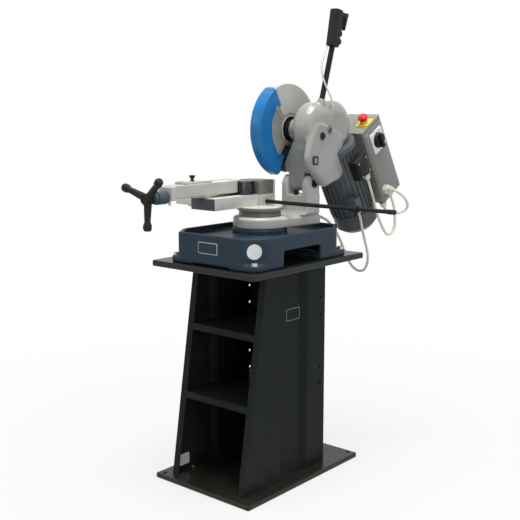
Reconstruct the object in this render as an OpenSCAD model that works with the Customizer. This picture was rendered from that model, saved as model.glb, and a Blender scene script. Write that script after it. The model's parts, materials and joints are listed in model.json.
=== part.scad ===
// Cold saw on its sheet-steel stand.
// Millimetres, +Z up. The origin is on the floor, under the middle of the base plate.
// +X is the operator's right, the operator stands on the -Y side.

/* [Stand] */
// Width of the base plate
base_plate_w = 360; // [330:1:420]
// Depth of the base plate
base_plate_d = 514; // [500:1:560]
// Thickness of the base plate
base_plate_t = 14; // [8:1:20]
// Outer width over the two side panels
stand_w = 276; // [260:1:300]
// Height of the stand, floor to table top
stand_h = 644; // [600:1:760]
// Sheet thickness of the stand's panels and shelves
sheet_t = 2; // [1.5:0.5:3]
// Sheet thickness of the table plate
table_t = 3; // [2:0.5:4]
// Depth of the table plate's folded lip
table_lip = 18; // [12:1:24]
// Width of the table plate beyond each side of the base casting, on average
table_side = 35.5; // [32:0.5:50]
// Depth of the table plate
table_d = 500; // [490:1:540]
// Top of the upper shelf above the floor
upper_shelf_z = 456; // [400:1:500]
// Top of the lower shelf above the floor
lower_shelf_z = 259; // [180:1:300]
// Depth of the channel pressed into each side panel
channel_depth = 14; // [8:1:18]

/* [Base casting] */
// Width of the base casting
casting_w = 315; // [305:1:330]
// Depth of the base casting
casting_d = 421; // [410:1:440]
// Height of the base casting
casting_h = 88; // [80:1:100]
// Wall thickness of the base casting
casting_wall = 10; // [8:1:12]
// Depth of the chip tray below the rim
tray_depth = 18; // [14:1:24]
// Radius of the round pedestal under the turret
pedestal_r = 78; // [78:1:82]
// Diameter of the base bolts' holes
base_bolt_d = 11; // [9:0.5:13]

/* [Turret] */
// Radius of the turret's flange
turret_r = 77; // [72:1:78]
// Thickness of the turret's flange
turret_t = 31.7; // [28:0.1:36]
// Radius of the centre post that the turret turns on
post_r = 34; // [28:1:38]
// Height of the graduated ring
ring_h = 17; // [14:1:20]
// Radius of the graduated ring
ring_r = 60; // [56:1:62]
// Diameter of the head's pivot pin
pivot_d = 22; // [16:1:26]
// Width of the gap between the fork's cheeks
fork_gap = 54; // [50:1:56]
// Thickness of each fork cheek
cheek_t = 20; // [16:1:20]

/* [Vise] */
// Height of the vise bed
bed_h = 33; // [30:1:40]
// Height of the jaws above the bed
jaw_h = 39; // [35:1:40]
// Gap between the jaws as they stand
jaw_gap = 8; // [6:1:12]
// Diameter of the vise screw
screw_d = 16; // [12:1:18]
// Length of a handwheel arm
wheel_arm = 84; // [70:1:90]
// Diameter of the length-stop rod
stop_rod_d = 11; // [8:1:12]
// Length of the length-stop rod beyond the jaw
stop_rod_len = 432; // [400:1:440]

/* [Saw head] */
// Diameter of the saw blade
blade_d = 250; // [225:1:252]
// Thickness of the saw blade
blade_t = 2; // [1.6:0.1:2.5]
// Number of blade teeth
blade_teeth = 80; // [60:2:120]
// Height of the spindle above the pivot
spindle_rise = 153; // [150:1:158]
// Radius of the black blade flange
flange_r = 32; // [30:1:34]
// Radius of the gear housing's drum
drum_r = 70; // [68:1:72]
// Radius of the gear housing's nose
nose_r = 33; // [32:1:35]
// Teeth of the worm wheel
wheel_teeth = 31; // [25:1:36]
// Distance between worm and spindle
worm_distance = 70; // [69:0.5:71]
// Outer radius of the worm
worm_r = 18; // [17:0.5:19]

/* [Motor and controls] */
// Radius of the motor body over its fins
motor_r = 70; // [66:1:72]
// Length of the motor body
motor_len = 235; // [225:1:240]
// Lean of the motor from upright, degrees
motor_lean = 31; // [30:0.5:32]
// Width of the control box, front to back
control_w = 109; // [100:1:116]
// Length of the control box
control_len = 255; // [240:1:262]
// Diameter of the emergency stop's mushroom
estop_d = 32; // [26:1:36]
// Length of the handle rod
handle_len = 163; // [150:1:170]
// Diameter of the handle rod
handle_d = 16; // [12:1:18]
// Diameter of the power leads
lead_d = 8; // [6:0.5:9]
// Diameter of the handle's switch lead
switch_lead_d = 5; // [4:0.5:6]

/* [Hidden] */
$fn = 64;
// Running clearance of shafts in bores, and clearance between plain moving faces
fit = 0.05;
slip = 0.3;
eps = 0.01;

// Stand
stand_x = stand_w/2;
stand_rear = 137;
stand_front_low = -227;
stand_front_high = -127;
panel_z0 = base_plate_t;
panel_z1 = stand_h - table_t;
flange_w = 22;
channel_y = [-70, 54];
channel_slope = 20;
table_w = casting_w + 2*table_side;
table_mid_y = 5.5;
shelf_lip = 18;
panel_hole_d = 8;
panel_hole_y = 115;
panel_holes_z = [262, 315, 471, 524];
base_hole_d = 11;
base_hole_x = 156;
base_hole_y = 240;
flange_bolt_r = 5;
flange_bolt_h = 6;
function front_y(z) = stand_front_low
    + (stand_front_high - stand_front_low)*(z - panel_z0)/(panel_z1 - panel_z0);

// Base casting, with its turret axis
turret_x = 20;
turret_y = -20;
casting_mid = [20.5, -19.5];
casting_x0 = casting_mid[0] - casting_w/2;
casting_x1 = casting_mid[0] + casting_w/2;
casting_y0 = casting_mid[1] - casting_d/2;
casting_y1 = casting_mid[1] + casting_d/2;
chamfer_x = 39;
chamfer_y = 57;
ear_h = 18;
rim_z = stand_h + casting_h;
tray_z = rim_z - tray_depth;
tray_floor_t = 8;
arch_y = [-103, 72];
arch_h = 45;
front_gap_x = [-46, 90];
front_gap_h = 5;
foot_bar_h = 20;
pedestal_z = rim_z + 3;
ear_in = [13, 19];

// Turret and graduated ring
turret_z0 = pedestal_z + slip;
turret_z1 = turret_z0 + turret_t;
ring_z0 = turret_z1 + slip;
disc_h = 8;
bed_z = ring_z0 + ring_h + disc_h;
fork_mid_x = 70;
cheek_in = fork_gap/2;
cheek_out = cheek_in + cheek_t;
pivot_y = 109;
pivot_z = turret_z1 + 87;
cheek_front = 35;
cheek_r = 24;
web_z = turret_z1 + 55;
pad_rear_y = 140;
stop_screw_y = pivot_y - 26;
stop_screw_r = 4;

// Vise
bed_x0 = -150;
bed_x1 = 8;
bed_y0 = -194;
bed_y1 = 45;
jaw_z = bed_z + bed_h;
jaw_top = jaw_z + jaw_h;
jaw_x1 = 16;
fixed_face_y = -15;
insert_x0 = -62;
insert_cut = 24;
jaw_wall = 12;
moving_face_y = fixed_face_y - jaw_gap;
jaw_depth = 42;
jaw_x0 = -105;
moving_x1 = 2;
jaw_relief = 9;
jaw_tab_w = 37;
arm_x = -45;
arm_w = 44;
arm_wall = 8;
arm_z0 = jaw_z + 7;
arm_top = arm_z0 + 35;
arm_y0 = -311;
arm_y1 = moving_face_y - jaw_depth;
end_block_t = 17;
end_block_w = 52;
screw_z = arm_z0 + 5;
nut_y = [-188, -164];
slot_w = 20;
slot_depth = 14;
tongue_w = slot_w - 2*slip;
sleeve_len = 46;
sleeve_r = 18;
wheel_y = arm_y0 - end_block_t - sleeve_len - 15;
clamp_y = [-272, -172];
thumb_y = -226;
plate_t = 6;

// Length stop
stop_y = 14;
stop_z = bed_z + 11.7;
collar_x = 326;

// Saw head
blade_x = turret_x;
spindle_y = pivot_y - 4;
spindle_z = pivot_z + spindle_rise;
spindle_r = 16;
flange_x1 = 45;
nose_x = flange_x1 + 1.5;
drum_x0 = 78;
cover_x = 122;
head_x1 = 150;
wheel_x0 = 87;
wheel_w = 20;
motor_x = wheel_x0 + wheel_w/2;
wheel_r = worm_distance - worm_r - slip;
gear_room_r = wheel_r + 1.3;
worm_room_r = worm_r + 2;
worm_tube_r = worm_r + 7;
worm_top = 24;
bearing_r = 26;
bearing_w = 16;
rear_bearing_r = 22;
rear_bearing_w = 8;
// Outlines of the head casting, each y, z and radius: drum, near face, lower lobe and neck
drum = [121, spindle_z + 4, drum_r + 4];
ball = [182, spindle_z + 7, 77];
// Dome of the head's near end, as x and the fall in radius there
dome = [[122, 1.5], [129, 5], [136, 12], [141, 21], [145, 33]];
back_dome = [[86, 20], [91, 11], [98, 4], [106, 1]];
valley = 2;
edge = 9;
lobes = [[96, spindle_z - 7, 32], [160, spindle_z - 47, 48], [128, spindle_z - 131, 30],
    [178, spindle_z - 115, 33]];
lobe_front = [62, spindle_z - 77, 32];
neck_high = [105, spindle_z - 42, 45];
neck_low = [100, pivot_z + 48, 23];
neck_x0 = 31;
// Oil plugs as y, z and radius, and the small square window
plug_places = [[100, spindle_z - 17, 9.5], [134, spindle_z - 1, 8]];
window_place = [66, spindle_z - 85];
barrel_r = 23;
barrel_x = [fork_mid_x - cheek_in + slip, fork_mid_x + cheek_in - slip];

// Guards round the blade, as radius and x
guard_plate = 2.5;
fixed_r = blade_d/2 + 7.5;
moving_r = fixed_r + 5.5;
guard_x0 = -12.5;
guard_x1 = 28.5;
guard_bevel = 8;
guard_inner_r = 80;
guard_from = 30;
guard_to = 160;
fixed_from = -128;
fixed_to = 36;
fixed_x0 = 13;
fixed_x1 = 24.5;
guard_bore_r = flange_r + 5;
collar_r = guard_bore_r + 4;
arm_angles = [45, 140];
arm_plate_w = 16;
boss_angles = [-85, -118];
boss_ring_r = 66;
boss_r = 8;

// Motor frame: its origin is the point of the motor axis nearest the spindle
motor_foot_y = spindle_y + worm_distance*cos(motor_lean);
motor_foot_z = spindle_z + worm_distance*sin(motor_lean);
motor_top = -95;
fan_cover_len = 52;
fin_h = 6;
fin_count = 28;
rotor_r = 40;
motor_shaft_r = 9;
control_n0 = 76;
control_z1 = -104;
control_x0 = 40;
control_x1 = 159;
terminal_z = -170;
terminal_size = [30, 58, 62];
// Glands of the leads in the motor frame: x, n and the z of each one's outer end
supply_gland = [62, -54, -296];
terminal_gland = [78, 16, -221];
box_gland = [50, 84, -375];
connector = [63, 98, -319];
gland_h = 16;

// Handle
handle_x = 125;
handle_foot = [126, spindle_z + 79];
socket_depth = 28;
handle_lean = -17.5;
grip_lean = -11;
grip_len = 104;
grip_w = 30;
grip_d = 34;

function polar(r, a) = [spindle_y - r*sin(a), spindle_z + r*cos(a)];

// Routes of the leads, each from its gland, laid for a pivot at this height
route_pivot_z = 854;
function raised(route) = [for (p = route) p + [0, 0, pivot_z - route_pivot_z]];
supply_route = raised([[159, 271, 761], [159, 276, 753], [159, 283, 738], [158, 292, 716],
    [157, 304, 690], [156, 318, 660], [155, 331, 628], [148, 342, 596], [132, 348, 572],
    [110, 350, 566], [88, 347, 578], [74, 340, 604], [67, 329, 634], [63, 310, 670],
    [62, 282, 703], [63, 249, 728], [65, 214, 743], [66, 186, 752], [66, 162, 756], [66, 141, 756]]);
motor_route = raised([[175, 292, 862], [175, 297, 853], [176, 306, 834], [178, 318, 805], [180, 329, 776],
    [182, 341, 748], [184, 357, 720], [186, 378, 692], [187, 399, 682], [188, 419, 690],
    [188, 430, 712], [186, 432, 740], [181, 433, 768], [174, 431, 790], [173, 426, 799]]);
box_route = raised([[186, 413, 820], [196, 414, 818], [204, 422, 811], [209, 437, 801], [210, 455, 787],
    [208, 470, 771], [202, 474, 756], [190, 464, 746], [176, 453, 743], [162, 447, 744],
    [152, 441, 749], [147, 435, 757], [147, 430, 765]]);
handle_route = raised([[116, 163, 1247], [116, 160, 1236], [117, 150, 1222], [118, 140, 1206],
    [121, 131, 1188], [125, 127, 1170], [130, 126, 1152], [136, 129, 1134], [141, 136, 1116],
    [144, 143, 1102], [144, 149, 1091], [143, 152, 1080], [141, 157, 1060]]);

// Shapes shared by several sub-parts

module round_rect(w, d, r) {
    square([w - 2*r, d], center = true);
    square([w, d - 2*r], center = true);
    for (sx = [-1, 1], sy = [-1, 1])
        translate([sx*(w/2 - r), sy*(d/2 - r)]) circle(r);
}

// A cylinder along +X
module x_cyl(x0, x1, y, z, r) {
    translate([x0, y, z]) rotate([0, 90, 0]) cylinder(r = r, h = x1 - x0);
}

// A cylinder along +Y
module y_cyl(y0, y1, x, z, r) {
    translate([x, y0, z]) rotate([-90, 0, 0]) cylinder(r = r, h = y1 - y0);
}

// A flat outline in Y and Z, given thickness along +X
module x_slab(x0, x1) {
    translate([x0, 0, 0]) rotate([90, 0, 90]) linear_extrude(x1 - x0) children();
}

// Hexagon head or nut standing on z = 0
module hex_head(across, h) {
    cylinder(d = across/cos(30), h = h, $fn = 6);
}

// Places a child in the motor's own frame
module on_motor() {
    translate([motor_x, motor_foot_y, motor_foot_z]) rotate([motor_lean, 0, 0]) children();
}

// Places a child in the blade's frame: local z runs along +X, local y points up
module on_spindle(x = 0) {
    translate([x, spindle_y, spindle_z]) rotate([90, 0, 90]) children();
}

// A sector of the blade's plane from one angle to another, forward of upright
module guard_sector(a0, a1, r) {
    step = (a1 - a0)/8;
    polygon(concat([[0, 0]], [for (i = [0:8]) r*[-sin(a0 + i*step), cos(a0 + i*step)]]));
}

// A round lead swept along its route
function unit(v) = v/norm(v);
function heading(p, i) = unit(p[min(i + 1, len(p) - 1)] - p[max(i - 1, 0)]);
function side_of(d, s) = unit(s - (s*d)*d);
function frames(p, i, s) = i == len(p) ? [] :
    let (d = heading(p, i), n = side_of(d, s)) concat([[n, cross(d, n)]], frames(p, i + 1, n));
module lead(p, d, sides) {
    f = frames(p, 0, [1, 0.2, 0.1]);
    points = [for (i = [0:len(p) - 1], k = [0:sides - 1])
        p[i] + d/2*(cos(360*k/sides)*f[i][0] + sin(360*k/sides)*f[i][1])];
    last = (len(p) - 1)*sides;
    walls = [for (i = [0:len(p) - 2], k = [0:sides - 1])
        let (a = i*sides + k, b = i*sides + (k + 1)%sides) [a, a + sides, b + sides, b]];
    caps = [[for (k = [0:sides - 1]) k], [for (k = [sides - 1:-1:0]) last + k]];
    polyhedron(points, concat(walls, caps), convexity = 6);
}

// Stand

module base_plate() {
    color("darkslategray")
    difference() {
        linear_extrude(base_plate_t) round_rect(base_plate_w, base_plate_d, 6);
        for (sx = [-1, 1], sy = [-1, 1])
            translate([sx*base_hole_x, sy*base_hole_y, -1])
                cylinder(d = base_hole_d, h = base_plate_t + 2);
    }
}

// Sheet outline of a side panel seen from above, with its pressed channel
module panel_profile() {
    outer = [[stand_x, stand_rear], [stand_x, channel_y[1]],
        [stand_x - channel_depth, channel_y[1] - channel_slope],
        [stand_x - channel_depth, channel_y[0] + channel_slope],
        [stand_x, channel_y[0]], [stand_x, stand_front_low]];
    inner = [for (i = [len(outer) - 1:-1:0]) outer[i] - [sheet_t, 0]];
    polygon(concat(outer, inner));
}

// Inward flanges that bolt to the plates, before and behind the channel
module bolt_flanges(z, front) {
    reach = flange_w + sheet_t;
    for (y = [[front, channel_y[0] - 6], [channel_y[1] + 6, stand_rear - flange_w - 4]])
        translate([stand_x - reach, y[0], z]) cube([reach, y[1] - y[0], sheet_t]);
}

module side_panel() {
    difference() {
        union() {
            difference() {
                translate([0, 0, panel_z0]) linear_extrude(panel_z1 - panel_z0) panel_profile();
                x_slab(stand_x - 50, stand_x + 50)
                    polygon([[front_y(panel_z0 - 1), panel_z0 - 1], [stand_front_low - 90, panel_z0 - 1],
                        [stand_front_low - 90, panel_z1 + 1], [front_y(panel_z1 + 1), panel_z1 + 1]]);
            }
            x_slab(stand_x - flange_w, stand_x)
                polygon([[front_y(panel_z0), panel_z0], [front_y(panel_z1), panel_z1],
                    [front_y(panel_z1) + sheet_t, panel_z1], [front_y(panel_z0) + sheet_t, panel_z0]]);
            translate([stand_x - flange_w, stand_rear - sheet_t, panel_z0])
                cube([flange_w, sheet_t, panel_z1 - panel_z0]);
            bolt_flanges(panel_z0, stand_front_low + 30);
            bolt_flanges(panel_z1 - sheet_t, stand_front_high + 12);
        }
        for (z = panel_holes_z)
            x_cyl(stand_x - sheet_t - 1, stand_x + 1, panel_hole_y, z, panel_hole_d/2);
    }
}

module right_side_panel() {
    color("#2b3230") side_panel();
}

module left_side_panel() {
    color("#2b3230") mirror([1, 0, 0]) side_panel();
}

module back_panel() {
    color("#2b3230")
        translate([-stand_x + sheet_t, stand_rear - 2*sheet_t, panel_z0])
            cube([stand_w - 2*sheet_t, sheet_t, panel_z1 - panel_z0 - sheet_t]);
}

// A folded shelf between the side panels, its lip in line with the sloping front
module shelf(z) {
    half = stand_x - channel_depth - sheet_t;
    tongue = stand_x - flange_w - 0.5;
    rear = stand_rear - 2*sheet_t;
    lip_y = front_y(z - shelf_lip);
    translate([-half, front_y(z) + sheet_t + 0.5, z - sheet_t])
        cube([2*half, rear - front_y(z) - sheet_t - 0.5, sheet_t]);
    x_slab(-tongue, tongue)
        polygon([[front_y(z), z], [front_y(z) + 30, z], [front_y(z) + 30, z - sheet_t],
            [front_y(z) + sheet_t, z - sheet_t], [lip_y + sheet_t, z - shelf_lip], [lip_y, z - shelf_lip]]);
    for (x = [-half, half - sheet_t])
        translate([x, channel_y[0] + channel_slope, z - shelf_lip])
            cube([sheet_t, channel_y[1] - channel_y[0] - 2*channel_slope, shelf_lip]);
}

module upper_shelf() {
    color("#2b3230") shelf(upper_shelf_z);
}

module lower_shelf() {
    color("#2b3230") shelf(lower_shelf_z);
}

function ears() = [for (sx = [0, 1], sy = [0, 1])
    [sx == 0 ? casting_x0 + ear_in[0] : casting_x1 - ear_in[0],
     sy == 0 ? casting_y0 + ear_in[1] : casting_y1 - ear_in[1]]];

module table_plate() {
    color("#2b3230")
    translate([0, table_mid_y, stand_h])
    difference() {
        translate([0, 0, -table_lip]) linear_extrude(table_lip) round_rect(table_w, table_d, 6);
        translate([0, 0, -table_lip - 1])
            linear_extrude(table_lip + 1 - table_t)
                round_rect(table_w - 2*table_t, table_d - 2*table_t, 4);
        for (p = ears())
            translate([p[0], p[1] - table_mid_y, -table_t - 1])
                cylinder(d = base_bolt_d, h = table_t + 2);
    }
}

// Bolts of the side panels' flanges, and those of the base casting's four ears
module bolts() {
    x = stand_x - sheet_t - flange_w/2;
    shank = base_bolt_d/2 - 0.5;
    across = base_bolt_d + 4;
    color("dimgray") {
        for (sx = [-1, 1]) {
            for (y = [stand_front_low + 70, stand_rear - 48])
                translate([sx*x, y, panel_z0 + sheet_t]) hex_head(2*flange_bolt_r, flange_bolt_h);
            for (y = [(stand_front_high + 6 + channel_y[0])/2, stand_rear - 48])
                translate([sx*x, y, panel_z1 - sheet_t - flange_bolt_h])
                    hex_head(2*flange_bolt_r, flange_bolt_h);
        }
        for (p = ears())
            translate([p[0], p[1], stand_h]) {
                translate([0, 0, ear_h]) cylinder(r = base_bolt_d/2 + 4, h = 2);
                translate([0, 0, ear_h + 2]) hex_head(across, 6);
                translate([0, 0, -table_t - 12]) cylinder(r = shank, h = table_t + 12 + ear_h + 2);
                translate([0, 0, -table_t - 8]) hex_head(across, 8);
            }
    }
}

// Base casting

// Outline of the casting with its corners cut off, moved inwards by d
module casting_outline(d) {
    n = sqrt(1/(chamfer_x*chamfer_x) + 1/(chamfer_y*chamfer_y));
    cx = chamfer_x*(1 + d*n - d/chamfer_y) - d;
    cy = chamfer_y*(1 + d*n - d/chamfer_x) - d;
    x0 = casting_x0 + d;
    x1 = casting_x1 - d;
    y0 = casting_y0 + d;
    y1 = casting_y1 - d;
    polygon([[x0 + cx, y0], [x1 - cx, y0], [x1, y0 + cy], [x1, y1 - cy],
        [x1 - cx, y1], [x0 + cx, y1], [x0, y1 - cy], [x0, y0 + cy]]);
}

module base_casting() {
    color("#33465a")
    difference() {
        union() {
            difference() {
                translate([0, 0, stand_h]) linear_extrude(casting_h) casting_outline(0);
                translate([0, 0, tray_z]) linear_extrude(tray_depth + 1) casting_outline(casting_wall);
                translate([0, 0, stand_h - 1])
                    linear_extrude(casting_h - tray_depth - tray_floor_t + 1) casting_outline(casting_wall);
            }
            translate([turret_x, turret_y, tray_z - tray_floor_t])
                cylinder(r = pedestal_r, h = pedestal_z - tray_z + tray_floor_t);
            translate([turret_x, turret_y, pedestal_z - 1])
                cylinder(r = post_r, h = bed_z - pedestal_z + 1);
            for (sx = [0, 1], sy = [0, 1])
                translate([sx*(casting_x0 + casting_x1), sy*(casting_y0 + casting_y1), stand_h])
                mirror([sx, 0, 0]) mirror([0, sy, 0])
                linear_extrude(ear_h)
                    polygon([[casting_x0 + 14, casting_y0], [casting_x0 + chamfer_x, casting_y0],
                        [casting_x0 + chamfer_x, casting_y0 + 5], [casting_x0 + 5, casting_y0 + chamfer_y],
                        [casting_x0, casting_y0 + chamfer_y], [casting_x0, casting_y0 + 14]]);
            translate([casting_x0 + casting_wall/2, arch_y[1] - 12, stand_h])
                cube([casting_w - casting_wall, 12, foot_bar_h]);
        }
        translate([casting_x1 - casting_wall - 1, arch_y[0], stand_h - 1])
            cube([casting_wall + 2, arch_y[1] - 12 - arch_y[0], arch_h + 1]);
        translate([front_gap_x[0], casting_y0 - 1, stand_h - 1])
            cube([front_gap_x[1] - front_gap_x[0], casting_wall + 2, front_gap_h + 1]);
        for (p = ears())
            translate([p[0], p[1], stand_h - 1]) cylinder(d = base_bolt_d, h = ear_h + 2);
    }
}

// Graduated ring with its zero mark
module scale_ring() {
    color("#4a4d50")
    translate([turret_x, turret_y, 0])
    difference() {
        translate([0, 0, ring_z0])
        rotate_extrude()
            polygon([[post_r + fit, 0], [ring_r, 0], [ring_r, ring_h], [post_r + fit, ring_h]]);
        for (a = [-60:5:60])
            rotate([0, 0, a - 40]) translate([ring_r - 1, -0.5, ring_z0 + 3])
                cube([2, 1, a%15 == 0 ? 11 : 7]);
    }
}

// Vise

// Bed on its round foot, slotted along the moving jaw's travel
module vise_bed() {
    color("#b9bab4")
    difference() {
        union() {
            translate([bed_x0, bed_y0, bed_z]) cube([bed_x1 - bed_x0, bed_y1 - bed_y0, bed_h]);
            translate([turret_x, turret_y, bed_z - disc_h]) cylinder(r = ring_r + 6, h = disc_h + 1);
        }
        translate([turret_x, turret_y, bed_z - disc_h - 1]) cylinder(r = post_r + fit, h = disc_h + 1);
        translate([arm_x - slot_w/2, bed_y0 + 4, jaw_z - slot_depth])
            cube([slot_w, fixed_face_y - bed_y0 - 4.5, slot_depth + 1]);
        translate([bed_x0 - 1, bed_y0 - 1, bed_z - 1]) cube([81, 48, 12]);
        translate([bed_x0 - 1, bed_y0 - 1, bed_z - disc_h - 1])
            cube([10, bed_y1 - bed_y0 - 60, bed_h + disc_h + 2]);
    }
}

module vise_end_plate() {
    color("#45494f")
        translate([bed_x1 - 84, bed_y0 - plate_t, bed_z + 1]) cube([84, plate_t, bed_h - 2]);
}

// The fixed nut block stands inside the hollow arm
module vise_nut() {
    color("#8d9092")
    difference() {
        union() {
            translate([arm_x - slot_w/2, nut_y[0], jaw_z - slot_depth])
                cube([slot_w, nut_y[1] - nut_y[0], slot_depth + 1]);
            translate([arm_x - 12, nut_y[0], jaw_z]) cube([24, nut_y[1] - nut_y[0], screw_z - jaw_z + 12]);
        }
        y_cyl(nut_y[0] - 1, nut_y[1] + 1, arm_x, screw_z, screw_d/2 + fit);
    }
}

// Wall behind the insert and the strip beside the bed, clear of the fork's swing
module fixed_jaw() {
    left = insert_x0 + insert_cut;
    color("#b4b5ae")
    difference() {
        union() {
            translate([0, 0, bed_z + 1]) linear_extrude(bed_h + jaw_h - 2)
                polygon([[jaw_x1, bed_y1], [jaw_x1, bed_y1 + jaw_wall - 5], [jaw_x1 - 5, bed_y1 + jaw_wall],
                    [left + jaw_wall, bed_y1 + jaw_wall], [left, bed_y1]]);
            translate([bed_x1, fixed_face_y, bed_z + 1])
                cube([jaw_x1 - bed_x1, bed_y1 - fixed_face_y + 1, bed_h - 1]);
        }
        x_cyl(bed_x1 - 1, jaw_x1 + 1, stop_y, stop_z, stop_rod_d/2 + fit);
    }
}

module fixed_jaw_insert() {
    color("#7d776c")
        translate([0, 0, jaw_z]) linear_extrude(jaw_h + 1)
            polygon([[jaw_x1, fixed_face_y], [jaw_x1, bed_y1], [insert_x0 + insert_cut, bed_y1],
                [insert_x0, bed_y1 - insert_cut], [insert_x0, fixed_face_y]]);
}

// The moving jaw, with the corner taken off where the blade passes in a mitre cut
module moving_jaw() {
    rear = moving_face_y - jaw_depth;
    color("#26282a")
    difference() {
        union() {
            translate([jaw_x0, rear, jaw_z + slip]) cube([moving_x1 - jaw_x0, jaw_depth, jaw_h - slip]);
            translate([arm_x - tongue_w/2, rear, jaw_z - slot_depth + slip])
                cube([tongue_w, jaw_depth - 1, slot_depth + 1]);
            translate([jaw_x0, rear - 30, jaw_top - 6]) cube([jaw_tab_w, 31, 6]);
        }
        translate([moving_x1, rear, jaw_z - 1]) linear_extrude(jaw_h + 2)
            polygon([[0, 18], [1, 18], [1, -1], [-jaw_relief, -1]]);
    }
}

// Hollow arm between the jaw and the end block
module vise_arm() {
    color("#b4b5ae")
    difference() {
        translate([arm_x - arm_w/2, arm_y0, arm_z0]) cube([arm_w, arm_y1 - arm_y0, arm_top - arm_z0]);
        translate([arm_x - arm_w/2 + arm_wall, arm_y0 - 1, arm_z0 - 1])
            cube([arm_w - 2*arm_wall, arm_y1 - arm_y0 + 2, arm_top - arm_z0 - arm_wall + 1]);
    }
}

module arm_end_block() {
    color("#a9aaa4")
    difference() {
        union() {
            translate([arm_x - end_block_w/2, arm_y0 - end_block_t, arm_z0 - 4])
                cube([end_block_w, end_block_t, arm_top - arm_z0 + 2]);
            translate([arm_x + 8, arm_y0 - end_block_t/2, arm_z0 - 14]) cylinder(r = 4, h = 12);
            translate([arm_x + 8, arm_y0 - end_block_t/2, arm_z0 - 20]) cylinder(r1 = 0.6, r2 = 4, h = 6.5);
        }
        y_cyl(arm_y0 - end_block_t - 1, arm_y0 + 1, arm_x, screw_z, screw_d/2 + fit);
    }
}

module screw_sleeve() {
    y1 = arm_y0 - end_block_t;
    color("#3b5066")
    difference() {
        union() {
            y_cyl(y1 - sleeve_len, y1, arm_x, screw_z, sleeve_r - 3);
            y_cyl(y1 - sleeve_len + 12, y1, arm_x, screw_z, sleeve_r);
        }
        y_cyl(y1 - sleeve_len - 1, y1 + 1, arm_x, screw_z, screw_d/2 + fit);
    }
}

module clamp_plate() {
    color("#b4b5ae")
    difference() {
        union() {
            translate([arm_x - 20, clamp_y[0], arm_top]) cube([40, clamp_y[1] - clamp_y[0], plate_t]);
            translate([arm_x - 14, clamp_y[0] + 4, arm_top + plate_t]) cube([28, 26, 2]);
        }
        translate([arm_x, thumb_y, arm_top - 1]) cylinder(r = 4 + fit, h = plate_t + 2);
    }
}

module thumb_screw() {
    z = arm_top + plate_t;
    color("#1c1d1e")
    translate([arm_x, thumb_y, 0]) {
        translate([0, 0, arm_top + slip]) cylinder(r = 4, h = plate_t + 10);
        translate([0, 0, z + slip]) cylinder(r = 6, h = 3);
        translate([0, 0, z + 8])
        difference() {
            cylinder(r1 = 6, r2 = 9, h = 8);
            for (a = [0:45:315]) rotate([0, 0, a]) translate([10, 0, -1]) cylinder(r = 2.4, h = 10);
        }
    }
}

module vise_screw() {
    color("silver")
        y_cyl(wheel_y - 12, arm_y1 - 12, arm_x, screw_z, screw_d/2);
}

// Three-armed handwheel, one arm hanging down
module handwheel() {
    bore = screw_d/2 + 0.01;
    color("#1c1d1e")
    difference() {
        union() {
            y_cyl(wheel_y - 14, wheel_y + 14, arm_x, screw_z, 15);
            for (a = [51, 171, 291])
                translate([arm_x, wheel_y, screw_z]) rotate([0, a, 0]) rotate([11, 0, 0]) {
                    translate([0, 0, 8]) cylinder(r1 = 11, r2 = 8, h = wheel_arm - 28);
                    translate([0, 0, wheel_arm - 24]) cylinder(r1 = 8, r2 = 11.5, h = 8);
                    translate([0, 0, wheel_arm - 16]) cylinder(r = 11.5, h = 10);
                    translate([0, 0, wheel_arm - 6]) cylinder(r1 = 11.5, r2 = 8, h = 6);
                }
        }
        y_cyl(wheel_y - 15, wheel_y + 15, arm_x, screw_z, bore);
    }
}

// Length stop

module stop_rod() {
    color("#1c1d1e") {
        x_cyl(bed_x1 + eps, jaw_x1 + stop_rod_len, stop_y, stop_z, stop_rod_d/2);
        x_cyl(jaw_x1 + stop_rod_len - 24, jaw_x1 + stop_rod_len, stop_y, stop_z, stop_rod_d/2 + 1);
    }
}

module stop_collar() {
    color("#26282a")
    difference() {
        union() {
            x_cyl(collar_x - 8, collar_x + 8, stop_y, stop_z, stop_rod_d/2 + 4.5);
            translate([collar_x, stop_y, stop_z - 20]) cylinder(r = 4, h = 13);
        }
        x_cyl(collar_x - 9, collar_x + 9, stop_y, stop_z, stop_rod_d/2 + fit);
    }
}

// Turret

// Point where a line from p touches the turret's flange, on side s
function tangent(p, s) = let (d = p - [turret_x, turret_y], m = norm(d),
    a = atan2(d[1], d[0]) + s*acos(turret_r/m)) [turret_x, turret_y] + turret_r*[cos(a), sin(a)];

module cheek(x0) {
    x_slab(x0, x0 + cheek_t) {
        translate([pivot_y, pivot_z]) circle(cheek_r);
        polygon([[pivot_y - cheek_front, turret_z1 - 1], [pivot_y - cheek_front, pivot_z + 4],
            [pivot_y - cheek_front + 14, pivot_z + cheek_r], [pivot_y, pivot_z + cheek_r],
            [pivot_y, pivot_z], [pivot_y + cheek_r, pivot_z], [pad_rear_y - 4, turret_z1 - 1]]);
    }
}

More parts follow.
